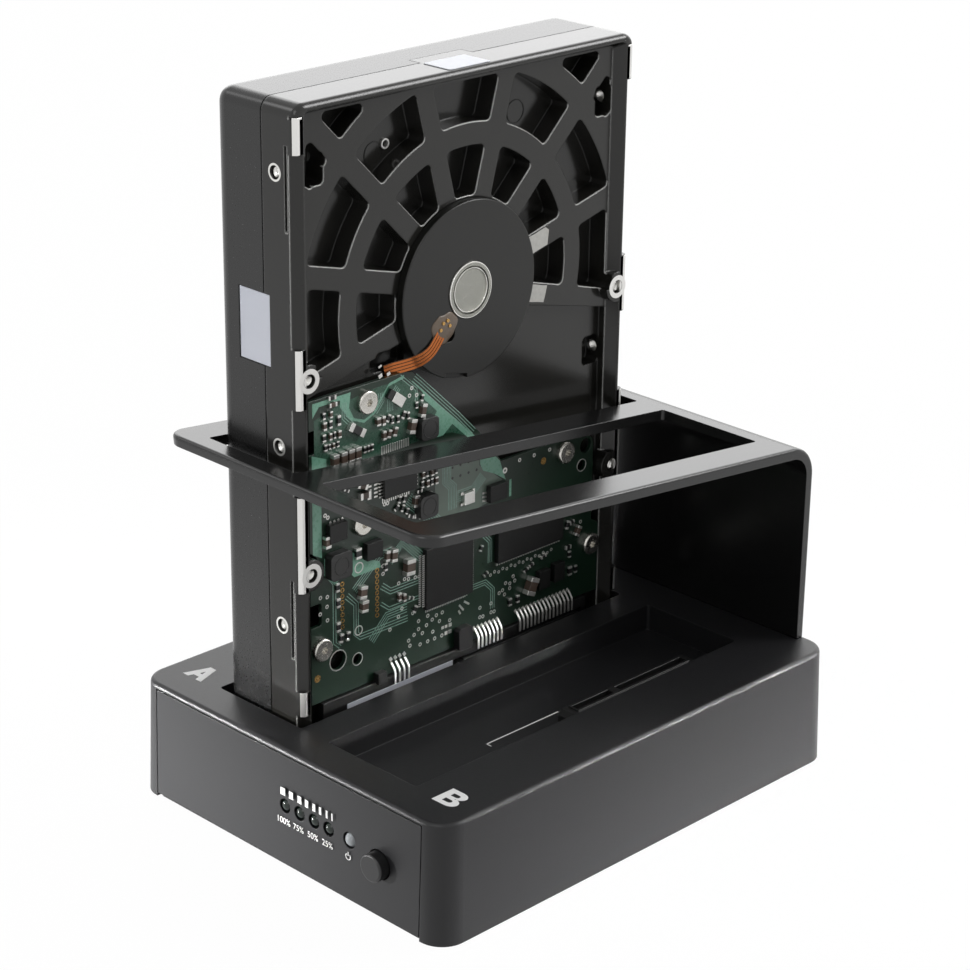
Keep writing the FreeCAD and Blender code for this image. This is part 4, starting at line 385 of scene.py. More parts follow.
def spiral(bm, start, way, length, radius, depth, pitch):
    """Adds the thread of a tapped hole: a wall that winds in and out once per pitch."""
    across = way.orthogonal().normalized()
    along = way.cross(across)
    steps, rows = 24, int(2 * length / pitch)
    rings = []
    for row in range(rows + 1):
        reach = radius if row % 2 else radius - depth
        ring = []
        for i in range(steps + 1):
            angle = 2 * math.pi * i / steps
            far = min((row / 2 + i / steps) * pitch, length)
            out = across * math.cos(angle) + along * math.sin(angle)
            ring.append(bm.verts.new(start + way * far + out * reach))
        rings.append(ring)
    for a, b in zip(rings, rings[1:]):
        for i in range(steps):
            bm.faces.new((a[i], a[i + 1], b[i + 1], b[i]))


def solid(curve, name, place, body, finish):
    """Turns a drawn curve into a printed piece, centred on a placing matrix."""
    draft = bpy.data.objects.new(name + "_draft", curve)
    bpy.context.scene.collection.objects.link(draft)
    bpy.context.view_layer.update()
    drawn = bpy.data.meshes.new_from_object(draft.evaluated_get(bpy.context.evaluated_depsgraph_get()))
    bpy.data.objects.remove(draft)
    bm = bmesh.new()
    bm.from_mesh(drawn)
    middle = (Vector(max(v.co[i] for v in bm.verts) for i in range(3))
              + Vector(min(v.co[i] for v in bm.verts) for i in range(3))) / 2
    bmesh.ops.transform(bm, matrix=place @ Matrix.Translation(-middle), verts=bm.verts)
    return piece(name, body, finish, bm)


def lettering(name, words, height_mm, place, body, finish, bold_mm):
    """Printed figures, raised by the thickness of the ink, on the x, y plane of a placing matrix."""
    curve = bpy.data.curves.new(name, "FONT")
    curve.body = words
    curve.size = height_mm * MM / CAPITAL_SHARE
    curve.extrude, curve.offset = PRINT / 2, bold_mm * MM
    return solid(curve, name, place, body, finish)


def stand(at, across, along):
    """A placing matrix: its origin and the directions of its x and y."""
    return Matrix.Translation(at) @ Matrix((across, along, across.cross(along))).transposed().to_4x4()


# ---------------------------------------------------------------- case: printed marks
LETTER_AHEAD = 52.2 * MM                            # both bay letters, ahead of the case's middle


def bow(x, low, high, reach, steps=10):
    """The round right side of a B's bowl."""
    return [(x + reach * math.cos(a), (low + high) / 2 + (high - low) / 2 * math.sin(a))
            for a in [math.pi * (i / steps - 0.5) for i in range(steps + 1)]]


# where each letter's middle is across the case, then its outline and the spaces in it, in millimetres
LETTERS = {
    "a": (-40.6, (((0, 0), (1.85, 0), (2.3, 1.35), (4.1, 1.35), (4.55, 0), (6.4, 0), (4.15, 6.4),
                   (2.25, 6.4)),
                  ((2.78, 2.7), (3.62, 2.7), (3.2, 4.2)))),
    "b": (41.0, ([(0, 0)] + bow(3.6, 0, 3.45, 2.3) + bow(3.4, 3.2, 6.4, 2.1) + [(0, 6.4)],
                 [(1.75, 1.3)] + bow(3.3, 1.3, 2.55, 0.75) + [(1.75, 2.55)],
                 [(1.75, 3.85)] + bow(3.2, 3.85, 5.05, 0.7) + [(1.75, 5.05)]))}
for letter, (x, outlines) in LETTERS.items():
    curve = bpy.data.curves.new("letter_" + letter, "CURVE")
    curve.dimensions, curve.fill_mode, curve.extrude = "2D", "BOTH", PRINT / 2
    for outline in outlines:
        spline = curve.splines.new("POLY")
        spline.points.add(len(outline) - 1)
        spline.use_cyclic_u = True
        for point, (u, v) in zip(spline.points, outline):
            point.co = (u * MM, v * MM, 0, 1)
    at = Vector((x * MM, CASE_MID - LETTER_AHEAD, CASE_TOP + PRINT / 2))
    solid(curve, "bay_letter_" + letter, stand(at, X, Y), "case", WHITE_INK)

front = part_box("front_panel")[0].y - PRINT / 2
lamps = [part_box("progress_lamp_%d" % i) for i in (1, 2, 3, 4)]
lamp_z = (lamps[0][0].z + lamps[0][1].z) / 2
FIGURE_HIGH, FIGURE_BOLD, FIGURE_DROP = 1.5, 0.005, 3.5
for (low, high), words in zip(lamps, ("100%", "75%", "50%", "25%")):
    at = Vector(((low.x + high.x) / 2, front, lamp_z - FIGURE_DROP * MM))
    lettering("progress_figure_" + words[:-1], words, FIGURE_HIGH, stand(at, X, Z), "case", WHITE_INK,
              FIGURE_BOLD)

# bars that grow thinner to the right: both sides from the first lamp, bottom and top from the lamps' height
BARS = ((-1, 0.55), (1.8, 3.15), (4.6, 5.85), (7, 8.05), (9.4, 10.35), (11.5, 12.25), (13.7, 14.25),
        (15.5, 15.85))
BAR_BOTTOM, BAR_TOP = 2.75, 4.55
marks = bmesh.new()
first = (lamps[0][0].x + lamps[0][1].x) / 2
for near, far in BARS:
    x0, x1, z0, z1 = first + near * MM, first + far * MM, lamp_z + BAR_BOTTOM * MM, lamp_z + BAR_TOP * MM
    slab(marks, [Vector((x, front, z)) for x, z in ((x0, z0), (x1, z0), (x1, z1), (x0, z1))], -Y * PRINT)
# the power symbol: a ring that is open at the top, and a stroke in the gap
SYMBOL_DROP, SYMBOL_OUTER, SYMBOL_INNER, SYMBOL_TURN = 3.8, 0.85, 0.6, (130, 410)
STROKE_HALF, STROKE_BOTTOM, STROKE_TOP = 0.13, 0.2, 1.15
power_low, power_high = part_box("power_lamp")
symbol = Vector(((power_low.x + power_high.x) / 2, front, lamp_z - SYMBOL_DROP * MM))
washer(marks, symbol, X, Z, -Y * PRINT, SYMBOL_OUTER * MM, SYMBOL_INNER * MM, SYMBOL_TURN)
stroke = ((-STROKE_HALF, STROKE_BOTTOM), (STROKE_HALF, STROKE_BOTTOM), (STROKE_HALF, STROKE_TOP),
          (-STROKE_HALF, STROKE_TOP))
slab(marks, [symbol + X * x * MM + Z * z * MM for x, z in stroke], -Y * PRINT)
piece("front_panel_marks", "case", WHITE_INK, marks)

# ---------------------------------------------------------------- bay B: the line that shows the drive's side
cast_low, cast_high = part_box("drive_casting")
DRIVE = Vector((cast_high.x, (cast_low.y + cast_high.y) / 2, cast_low.z))
BAY_FLOOR = DRIVE.z - 0.05 * MM                     # the drive stands just clear of it
# left, right, front and rear of the long stretch and of the short one that turns off at its front end
LINE_STRETCHES = ((20.05, 20.4, -20.5, 2.6), (20.05, 21.7, -20.5, -20.2))
line = bmesh.new()
for x0, x1, y0, y1 in LINE_STRETCHES:
    corners = [Vector((x * MM, y * MM, BAY_FLOOR)) for x, y in ((x0, y0), (x1, y0), (x1, y1), (x0, y1))]
    slab(line, corners, Z * PRINT)
piece("bay_b_line", "case", WHITE_INK, line)

# ---------------------------------------------------------------- drive: bare metal, threads, painted reflections, casting marks
WIDE = 101.6                                        # the drive's width
# bare stretches of both rims, from the drive's lower end, and how the bent tabs there are cut
TABS = ((134.5, 142.5), (79.5, 93.0), (37.5, 60.0), (8.0, 14.0))
TAB_WIDE, TAB_SLOPE, TAB_DEEP, TAB_GAP = 2.35, 0.75, 0.9, 0.1
SIDE_HOLES = (28.5, 70.1, 130.1)                    # above the drive's lower end
SIDE_HOLE_DEPTH = 6.35                              # below its board side
BARE = 0.03                                         # bare metal stands this far out of the paint
# radius, depth and pitch of the tapped holes: a little more than the real pitch of 0.79 mm lets the thread show
THREAD = (1.49 * MM, 0.42 * MM, 0.85 * MM)
BASE_THREAD, SIDE_THREAD = 4.4, 4.0                 # how far each is cut in
PAD_RADIUS, PAD_HOLE, RING_RADIUS, RING_HOLE = 2.75, 1.6, 1.95, 1.5
SPINDLE = 95.3                                      # spindle above the drive's lower end
WEB, DISC, POCKET = -2.5, -0.6, -7.5                # depths of the casting's web, motor flange and pockets


def on_drive(x, y, z):
    """A point on the drive: below its board side, from its middle and from its lower end, in millimetres."""
    return DRIVE + Vector((x, y, z)) * MM


def panel(bm, corners, x, thick):
    """A thin plate on the drive's board side, from its corners in y and z."""
    slab(bm, [on_drive(x, y, z) for y, z in corners], X * thick * MM)


tabs = bmesh.new()
for side in (-1, 1):
    edge, step, inner = (side * (WIDE / 2 - inset) for inset in (0.02, TAB_SLOPE, TAB_WIDE))
    section = ((0, inner), (0, step), (-TAB_SLOPE, edge), (-TAB_DEEP, edge), (-TAB_DEEP, inner))
    for low, high in TABS:
        slab(tabs, [on_drive(x, y, low + TAB_GAP) for x, y in section], Z * (high - low - 2 * TAB_GAP) * MM)
piece("rim_tabs_bare", "drive", MILLED, tabs, 0.08)

pads, threads = bmesh.new(), bmesh.new()
pattern = next(m for m in frame["record"]["mounts"] if m["name"] == "drive_base_holes")
for side in (-1, 1):
    for end in (-1, 1):
        at = Vector(pattern["pos_m"]) + Y * side * pattern["dims"]["spacing_x_mm"] / 2 * MM \
            + Z * end * pattern["dims"]["spacing_y_mm"] / 2 * MM
        if side < 0 or end > 0:                     # the fourth hole has no milled pad
            washer(pads, at, Y, Z, X * BARE * MM, PAD_RADIUS * MM, PAD_HOLE * MM, steps=32)
        spiral(threads, at, -X, BASE_THREAD * MM, *THREAD)
piece("base_hole_pads_bare", "drive", MILLED, pads)
for side in (-1, 1):
    for height in SIDE_HOLES:
        mouth = on_drive(-SIDE_HOLE_DEPTH, side * WIDE / 2, height)
        washer(threads, mouth, X, Z, side * Y * BARE * MM, RING_RADIUS * MM, RING_HOLE * MM, steps=28)
        start = on_drive(-SIDE_HOLE_DEPTH, side * (WIDE / 2 - 0.1), height)
        spiral(threads, start, -side * Y, SIDE_THREAD * MM, *THREAD)
piece("drive_threads", "drive", THREAD_METAL, threads)

# painted reflection: light grey patches on the web beside the motor's flange, above and below the pocket there
REFLECTION_OUTLINES = (
    ((21.1, 98.4), (22.2, 98.8), (24.2, 99.3), (26.3, 99.8), (26.7, 103.2), (25.6, 104.0), (23.8, 103.6),
     (22.2, 103.1), (20.0, 102.7), (20.4, 101.4), (20.8, 99.9)),
    ((21.05, 91.5), (23.1, 91.0), (24.7, 90.5), (26.5, 90.1), (26.0, 88.2), (25.4, 86.3), (23.4, 86.8),
     (21.5, 87.2), (19.9, 87.6), (20.4, 89.2), (20.8, 90.4)))
bare = bmesh.new()
for outline in REFLECTION_OUTLINES:
    panel(bare, outline, WEB, BARE)
piece("web_painted_reflection_patches", "drive", PAINTED_REFLECTION_METAL, bare)

# what the casting's tool leaves on the pockets' floors: the rings of three ejector pins and one gauge boss
marks = bmesh.new()
for y, z in ((-22.4, 128.6), (20.3, 130.6), (-44.0, 60.0)):
    washer(marks, on_drive(POCKET, y, z), Y, Z, X * 0.12 * MM, 2.75 * MM, 2.5 * MM, steps=32)
piece("ejector_pin_rings", "drive", CAST_PAINT, marks)
boss = bmesh.new()
washer(boss, on_drive(POCKET, -19.4, 130.4), Y, Z, X * 0.5 * MM, 1.15 * MM, 0.8 * MM, steps=24)
piece("gauge_boss_ring", "drive", MILLED, boss)

# the spindle's broad lip and, inside it, the thin bright ring round its cap
LIP_RISE = 0.36
lip = bmesh.new()
for outer, inner in ((6.45, 5.6), (5.15, 4.9)):
    washer(lip, on_drive(DISC - 0.02, 0, SPINDLE), Y, Z, X * LIP_RISE * MM, outer * MM, inner * MM, steps=48)
piece("spindle_lip", "drive", TURNED_LIP, lip, 0.12)

# ---------------------------------------------------------------- drive: the motor's copper strips and glue
FLEX_PATH = (
    (-0.4, -8.4, 88.0), (-0.3, -10.4, 85.5), (-0.22, -12.2, 83.9), (-0.3, -14.4, 82.9), (-0.8, -16.7, 82.3),
    (-2.0, -18.7, 81.7), (-3.2, -20.5, 81.2), (-4.0, -22.6, 80.7))


def smooth_path(points, steps):
    """Points along a smooth curve through the given ones."""
    ends = [points[0]] + list(points) + [points[-1]]
    found = []
    for a, b, c, d in zip(ends, ends[1:], ends[2:], ends[3:]):
        for i in range(steps):
            t = i / steps
            found.append(0.5 * (2 * b + (c - a) * t + (2 * a - 5 * b + 4 * c - d) * t * t
                                + (3 * b - a - 3 * c + d) * t ** 3))
    return found + [points[-1]]


def ribbon(bm, points, width, thick, shift=0.0):
    """A flat strip along a path on the drive's board side, moved sideways by shift."""
    rings = []
    for i, at in enumerate(points):
        way = points[min(i + 1, len(points) - 1)] - points[max(i - 1, 0)]
        side = Vector((0, -way.z, way.y)).normalized()
        lift = side.cross(way).normalized()
        lift = lift if lift.x > 0 else -lift
        near, far = at + side * (shift - width / 2), at + side * (shift + width / 2)
        rings.append([bm.verts.new(p) for p in (near, far, far + lift * thick, near + lift * thick)])
    for a, b in zip(rings, rings[1:]):
        for k in range(4):
            bm.faces.new((a[k], a[(k + 1) % 4], b[(k + 1) % 4], b[k]))
    bm.faces.new(rings[0])
    bm.faces.new(rings[-1])


STRIP_WIDE, STRIP_THICK, STRIP_PITCH = 0.58, 0.1, 0.78
FILM_WIDE, FILM_THICK = 3.2, 0.08
flex = bmesh.new()
path = smooth_path([on_drive(*p) for p in FLEX_PATH], 6)
for i in range(4):
    ribbon(flex, path, STRIP_WIDE * MM, STRIP_THICK * MM, (i - 1.5) * STRIP_PITCH * MM)
piece("flex_copper_strips", "drive", COPPER_STRIP, flex)
film = bmesh.new()
ribbon(film, [p - X * FILM_THICK * MM for p in path], FILM_WIDE * MM, FILM_THICK * MM)
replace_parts(piece("flex_film", "drive", FINISHES["copper_flex"], film), "motor_flex")

# a flat drop with a wavy rim over the joints of the strips
GLUE_Y, GLUE_Z, GLUE_RADIUS, GLUE_RISE = -7.9, 88.2, 3.7, 0.4
GLUE_STEPS, GLUE_ROWS = 28, 6
glue = bmesh.new()
rows = []
for k in range(GLUE_ROWS + 1):
    reach, rise = math.cos(k / GLUE_ROWS * math.pi / 2), math.sin(k / GLUE_ROWS * math.pi / 2)
    row = []
    for i in range(GLUE_STEPS):
        angle = 2 * math.pi * i / GLUE_STEPS
        wobble = 1 + 0.1 * math.sin(2 * angle + 0.7) + 0.07 * math.sin(3 * angle) + 0.04 * math.sin(7 * angle)
        far = GLUE_RADIUS * wobble * reach
        row.append(glue.verts.new(on_drive(DISC + 0.02 + GLUE_RISE * rise, GLUE_Y + far * math.cos(angle),
                                           GLUE_Z + far * math.sin(angle))))
    rows.append(row)
for a, b in zip(rows, rows[1:]):
    for i in range(GLUE_STEPS):
        j = (i + 1) % GLUE_STEPS
        glue.faces.new((a[i], a[j], b[j], b[i]))
glue.faces.new(rows[0])
bmesh.ops.remove_doubles(glue, verts=glue.verts, dist=1e-6)
piece("motor_lead_glue", "drive", CURED_GLUE, glue, smooth=True)
joints = bmesh.new()
for y, z in ((-9.3, 88.1), (-8.5, 89.5), (-7.2, 89.9), (-6.6, 88.6)):
    washer(joints, on_drive(DISC + 0.3, y, z), Y, Z, X * 0.3 * MM, 0.42 * MM, 0.05 * MM, steps=12)
piece("motor_lead_joints", "drive", GOLD, joints, 0.05)

# ---------------------------------------------------------------- the drive's board
FACE = (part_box("drive_board")[1].x - DRIVE.x) / MM  # the board's outer face, from the drive's board side
ON_MASK = FACE + 0.005                              # lands and rings start just above the mask

# size and place of each small part, in millimetres on the board: y, z, length, width, height, turn in degrees
CERAMICS = (
    (-39.5, 78.0, 2.2, 1.0, 0.8, 0), (-40.0, 75.9, 1.6, 0.8, 0.7, 90), (-41.9, 73.7, 2.0, 1.0, 0.8, 90),
    (-40.2, 70.9, 1.7, 0.8, 0.7, 90), (-37.6, 70.8, 1.8, 0.9, 0.7, 90), (-39.3, 68.6, 1.3, 0.7, 0.6, 90),
    (-39.2, 65.0, 3.2, 1.7, 1.3, 90), (-36.8, 65.0, 3.2, 1.7, 1.3, 90), (-34.7, 65.1, 3.2, 1.7, 1.3, 90),
    (-32.7, 65.1, 3.2, 1.6, 1.3, 90), (-26.4, 70.8, 2.0, 1.2, 0.9, 90), (-24.8, 70.6, 2.2, 1.0, 0.8, 90),
    (-24.6, 67.1, 2.2, 1.0, 0.8, 90), (-23.1, 67.1, 2.0, 1.0, 0.8, 72), (-21.4, 67.2, 2.2, 1.1, 0.9, 72),
    (-16.4, 67.2, 3.4, 1.7, 1.3, 76), (-13.1, 70.1, 3.2, 1.4, 1.2, 76), (-31.2, 57.1, 3.0, 1.4, 1.0, -22),
    (-30.6, 54.8, 3.1, 1.6, 1.2, 0), (-41.7, 46.9, 2.8, 1.6, 1.3, 90), (-15.1, 49.0, 2.8, 1.5, 1.1, 80),
    (-31.3, 31.8, 3.0, 2.0, 1.2, 82), (-30.9, 28.3, 2.8, 1.9, 1.2, 84), (-21.9, 37.9, 3.0, 1.7, 1.2, 84),
    (-23.7, 38.2, 2.6, 1.2, 0.9, 84), (-17.3, 33.8, 3.8, 2.6, 1.6, 86), (22.2, 16.9, 4.4, 2.7, 1.8, 66),
    (-12.7, 54.6, 1.8, 0.9, 0.7, 90), (-11.3, 52.2, 1.8, 0.9, 0.7, 90), (-9.9, 54.5, 1.8, 0.9, 0.7, 90),
    (-8.6, 52.2, 1.8, 0.9, 0.7, 90), (-19.9, 27.0, 2.0, 0.9, 0.7, 90), (-18.4, 26.4, 1.9, 0.9, 0.7, 90),
    (38.3, 26.3, 2.6, 1.4, 1.0, 62))
RESISTORS = (
    (-39.5, 79.5, 2.2, 1.0, 0.5, 0), (-41.9, 75.9, 1.6, 0.8, 0.5, 90), (-40.0, 73.6, 1.9, 0.9, 0.5, 90),
    (-37.6, 73.9, 2.4, 1.0, 0.5, 90), (-41.9, 70.9, 1.8, 1.0, 0.5, 90), (-38.9, 70.9, 1.7, 0.7, 0.5, 90),
    (-41.5, 68.6, 1.6, 0.9, 0.5, 90), (-40.4, 68.6, 1.3, 0.7, 0.5, 90), (-38.0, 68.6, 1.4, 0.8, 0.5, 90),
    (-32.8, 70.6, 5.0, 2.0, 1.1, -33), (-30.2, 65.2, 1.6, 0.8, 0.5, 90), (-29.1, 65.2, 1.6, 0.8, 0.5, 90),
    (-28.0, 65.2, 1.6, 0.8, 0.5, 90), (-23.2, 70.7, 1.9, 0.9, 0.5, 60), (-22.0, 70.0, 1.8, 0.8, 0.5, 90),
    (-20.3, 69.8, 1.8, 0.8, 0.5, 90), (-18.6, 70.3, 1.9, 0.9, 0.5, 62), (-17.2, 69.8, 1.8, 0.8, 0.5, 90),
    (-14.2, 65.4, 2.8, 0.9, 0.6, 84), (-13.0, 72.9, 1.6, 0.8, 0.5, 75), (-14.7, 71.6, 1.6, 0.8, 0.5, 90),
    (-35.6, 57.2, 1.6, 0.8, 0.5, -30), (-12.8, 52.3, 1.8, 0.8, 0.5, 90), (-11.4, 54.6, 1.8, 0.8, 0.5, 90),
    (-9.9, 52.2, 1.8, 0.8, 0.5, 90), (-8.6, 54.6, 1.8, 0.8, 0.5, 90), (-13.7, 50.9, 1.6, 0.8, 0.5, 0),
    (-11.4, 49.5, 2.8, 1.0, 0.6, 0), (-14.4, 45.0, 2.0, 1.1, 0.6, -20), (-16.3, 45.6, 1.8, 0.9, 0.5, -24),
    (-19.8, 50.6, 1.8, 0.8, 0.5, 72), (-18.3, 50.4, 1.8, 0.8, 0.5, 72), (-20.8, 48.9, 1.8, 0.8, 0.5, 40),
    (-18.9, 48.3, 1.8, 0.8, 0.5, 66), (-17.5, 47.2, 1.6, 0.8, 0.5, 66), (-38.2, 31.2, 2.2, 1.1, 0.5, 90),
    (-38.2, 25.4, 2.4, 1.1, 0.5, 90), (-37.4, 22.4, 2.2, 1.1, 0.5, 78), (-35.4, 22.3, 2.2, 1.0, 0.5, 78),
    (-38.4, 35.0, 2.2, 1.0, 0.5, 90), (-24.0, 35.6, 2.0, 0.9, 0.5, 90), (-32.4, 41.4, 2.6, 1.7, 0.8, 90),
    (34.9, 28.7, 2.2, 1.1, 0.6, 70), (36.5, 28.9, 1.6, 0.8, 0.5, 20), (35.3, 22.8, 1.9, 1.0, 0.6, 0),
    (35.9, 20.8, 1.8, 0.9, 0.5, 90), (36.1, 16.4, 2.4, 1.2, 0.6, 90), (38.2, 16.3, 2.0, 0.9, 0.5, 90),
    (15.8, 14.5, 2.0, 1.1, 0.5, 90), (18.4, 14.5, 2.0, 1.1, 0.5, 90), (21.0, 21.1, 1.8, 0.8, 0.5, 30),
    (22.8, 21.9, 1.6, 0.8, 0.5, 20), (26.9, 22.9, 1.8, 0.8, 0.5, 12), (-14.9, 22.4, 1.8, 0.9, 0.5, 60),
    (-16.2, 25.6, 1.7, 0.8, 0.5, -20), (7.6, 24.2, 1.6, 0.8, 0.5, 30), (6.0, 31.2, 1.6, 0.8, 0.5, 60))
# rings of tin round plated holes: y, z, outer and inner radius
RINGS = [(y, z, 0.5, 0.24) for y, z in (
    (-13.6, 18.9), (-10.7, 19.3), (-6.1, 18.7), (-13.6, 16.9), (-11.1, 17.1), (-12.4, 15.5), (-15.0, 15.9),
    (-9.1, 14.8), (-13.1, 12.9), (-10.7, 12.9), (-8.5, 12.9), (-6.2, 12.9), (-16.7, 15.0), (-16.3, 13.6),
    (-3.7, 16.0), (-9.3, 17.9), (-7.0, 16.8), (-8.0, 18.6), (-43.2, 33.9), (-41.2, 33.5), (-41.3, 31.2),
    (-43.3, 30.0), (-41.2, 27.9), (-19.8, 30.2), (-18.0, 30.7), (-16.8, 30.4), (-14.7, 30.1), (-13.5, 30.0),
    (-18.8, 23.7), (-19.9, 22.0), (-22.5, 19.6), (-15.4, 21.5), (-24.6, 35.9), (-24.6, 34.0), (-24.1, 50.6),
    (-23.2, 50.6), (-41.6, 52.9), (-40.8, 52.2), (12.4, 17.8), (14.5, 19.7), (13.5, 18.2), (17.0, 20.7),
    (15.9, 19.2), (17.6, 19.4), (15.9, 18.0), (14.2, 16.9), (6.1, 13.6), (7.1, 13.5), (9.8, 13.7),
    (10.8, 13.6), (6.1, 16.0), (9.7, 16.0), (18.5, 49.6), (23.3, 49.5), (28.5, 49.5), (-15.9, 75.8),
    (-16.6, 74.2), (-14.4, 73.8))]
RINGS += [(13.7, 48.3, 0.75, 0.3), (-32.0, 22.5, 1.25, 0.95), (-31.8, 37.7, 1.35, 1.05),
          (-38.2, 17.2, 2.6, 2.32), (-32.4, 15.6, 1.62, 1.38), (39.6, 42.6, 1.65, 1.42),
          (39.8, 28.0, 0.5, 0.25)]
RINGS += [(9.4 + 1.36 * i, 23.3 + 0.45 * (i % 2), 0.42, 0.2) for i in range(16)]
# painted shade: dark discs stand for the shade in the vias' holes in the ground mesh; and gold rings of the
# test points
VIA_HOLES = [(y, z) for z in (51.0, 53.6) for y in (-3.2, -0.7, 1.9, 4.5)]
TEST_RINGS = [(-36.8, 24.9 + 1.48 * i) for i in range(8)] + [(-26.4, 24.5 + 1.36 * i) for i in range(9)]
TEST_RINGS += [(-23.0, 52.2)]
# bare tin lands: y, z, length, width, turn
LANDS = [(-6.0, 14.8, 0.8, 0.7, 0), (-4.9, 14.8, 0.8, 0.7, 0), (-3.6, 14.8, 0.9, 0.9, 0),
         (-3.6, 13.1, 0.9, 0.9, 0), (-4.9, 13.1, 0.9, 0.9, 0), (0.0, 18.0, 2.2, 0.5, -50),
         (1.7, 18.7, 2.0, 0.5, -35), (-0.6, 17.0, 1.2, 0.5, -60)]
LANDS += [(-39.8 + 1.15 * i, 50.2, 2.0, 0.55, 115) for i in range(4)]
LANDS += [(-22.3 + 1.4 * i, 12.2, 0.8, 1.0, 35) for i in range(4)]
LANDS += [(4.2 + 1.27 * i, 11.3, 0.8, 1.1, 35) for i in range(7)]
LANDS += [(18.0 + 1.27 * i, 11.3, 0.8, 1.1, 35) for i in range(15)]
LANDS += [(-28.6 + 1.9 * k, 53.2 + 0.95 * i, 1.1, 0.45, 0) for k in (0, 1) for i in range(5)]
LANDS += [(7.4, 44.5 - 0.95 * i, 1.9, 0.5, -8) for i in range(3)]
LANDS += [(13.7, 44.0 - 1.2 * i, 1.4, 0.6, 0) for i in range(2)]
LANDS += [(-24.7 + 0.66 * i, 51.7, 1.5, 0.3, 90) for i in range(13)]
LANDS += [(-24.9 + 0.66 * i, 63.5, 1.9, 0.36, 90) for i in range(13)]


def turned(y, z, long, wide, turn):
    """Corners of a turned rectangle on the board."""
    c, s = math.cos(math.radians(turn)), math.sin(math.radians(turn))
    return [(y + u * c - v * s, z + u * s + v * c) for u, v in
            ((-long / 2, -wide / 2), (long / 2, -wide / 2), (long / 2, wide / 2), (-long / 2, wide / 2))]


# each small part is a body between two soldered ends, which are a little wider and higher than it
BODY_LONG, BODY_WIDE, END_LONG = 0.52, 0.92, 0.25   # shares of the part's length and width
END_FROM_MIDDLE, END_HIGHER = 0.375, 0.03
ends = bmesh.new()
for kind, finish, parts in (("capacitor_bodies", CERAMIC, CERAMICS),
                            ("resistor_bodies", RESISTOR, RESISTORS)):
    bodies = bmesh.new()
    for y, z, long, wide, high, turn in parts:
        c, s = math.cos(math.radians(turn)), math.sin(math.radians(turn))
        panel(bodies, turned(y, z, long * BODY_LONG, wide * BODY_WIDE, turn), FACE + 0.02, high)
        for way in (-1, 1):
            off = way * long * END_FROM_MIDDLE
            panel(ends, turned(y + off * c, z + off * s, long * END_LONG, wide, turn), FACE + 0.01,
                  high + END_HIGHER)
    piece("board_" + kind, "drive", finish, bodies, 0.06)
piece("board_soldered_ends", "drive", TIN, ends, 0.09)

tin = bmesh.new()
for y, z, outer, inner in RINGS:
    washer(tin, on_drive(ON_MASK, y, z), Y, Z, X * 0.05 * MM, outer * MM, inner * MM, steps=14)
for y, z, long, wide, turn in LANDS:
    panel(tin, turned(y, z, long, wide, turn), ON_MASK, 0.1)
piece("board_lands", "drive", TIN, tin, 0.03)
gold = bmesh.new()
for y, z in TEST_RINGS:
    washer(gold, on_drive(ON_MASK, y, z), Y, Z, X * 0.06 * MM, 0.6 * MM, 0.34 * MM, steps=16)
for y, z in ((26.5, 47.2), (-44.3, 14.7)):
    washer(gold, on_drive(ON_MASK, y, z), Y, Z, X * 0.04 * MM, 0.9 * MM, 0.02 * MM, steps=20)
piece("board_test_rings", "drive", GOLD, gold)
# painted shade: a thin black disc over each via, where its hole lies in shade
holes = bmesh.new()
for y, z in VIA_HOLES:
    washer(holes, on_drive(ON_MASK, y, z), Y, Z, X * 0.02 * MM, 0.34 * MM, 0.01 * MM, steps=14)
piece("board_vias_painted_shade", "drive", RESISTOR, holes)

# copper planes under the mask, round the screws, along the slanted edge and at the board's edges
PLANES = (
    ((-44.9, 79.3), (-33.9, 79.3), (-34.4, 75.8), (-33.0, 73.2), (-30.0, 72.0), (-27.3, 73.0),
     (-25.4, 75.6), (-22.6, 78.6), (-18.2, 79.4), (-18.4, 78.6), (-22.9, 77.9), (-27.0, 72.6),
     (-30.0, 71.3), (-34.0, 72.9), (-37.0, 76.6), (-37.0, 78.2), (-43.0, 78.2), (-44.9, 76.0)),
    ((-17.2, 78.6), (-2.8, 65.6), (4.4, 58.9), (2.4, 58.9), (-3.4, 64.2), (-6.2, 62.2), (-9.6, 62.2),
     (-9.6, 66.4), (-8.2, 68.5), (-12.2, 72.3), (-12.6, 74.0)),
    ((-45.2, 67.6), (-41.0, 65.8), (-41.0, 63.2), (-45.2, 64.0)),
    ((-45.2, 57.5), (-42.6, 56.4), (-42.6, 43.2), (-45.2, 44.6)),
    ((5.4, 58.0), (12.0, 51.2), (12.8, 49.0), (14.0, 46.0), (10.4, 48.4), (6.6, 50.2), (5.6, 52.0)),
    ((15.2, 45.6), (15.9, 45.6), (15.9, 41.4), (15.2, 41.4)),
    ((-34.4, 42.6), (-31.4, 39.8), (-25.6, 37.4), (-25.2, 35.8), (-33.2, 35.8), (-35.4, 38.2),
     (-38.9, 35.6), (-42.0, 38.8), (-42.0, 42.8)))
# ground under the tracks: where they lie too close to draw one by one, and where copper mesh fills the board
DENSE_TRACKS = ((-44.5, 64.4), (-41, 62.8), (-9.6, 62.8), (-3.5, 62.2), (3.6, 59.1), (-12.4, 73.2),
                (-18.4, 78.2), (-25, 78.6), (-37, 77.4), (-44.5, 75.4))
GROUND_MESH = ((-8.6, 60.4), (5.2, 57.8), (5.4, 51.8), (10, 48.6), (13, 46.2), (13, 42.6), (-1.6, 40.4),
               (-8.6, 43))
FILM = 0.012                                        # thickness of the mask that stands over copper
for name, finish, outline in (("board_dense_tracks", DENSE_GREEN, DENSE_TRACKS),
                              ("board_ground_mesh", DENSE_OLIVE, GROUND_MESH)):
    ground = bmesh.new()
    panel(ground, outline, FACE - 0.004, FILM)
    piece(name, "drive", finish, ground)
planes = bmesh.new()
for outline in PLANES:
    panel(planes, outline, FACE + 0.002, FILM)
piece("board_copper_planes", "drive", MASK_COPPER, planes)

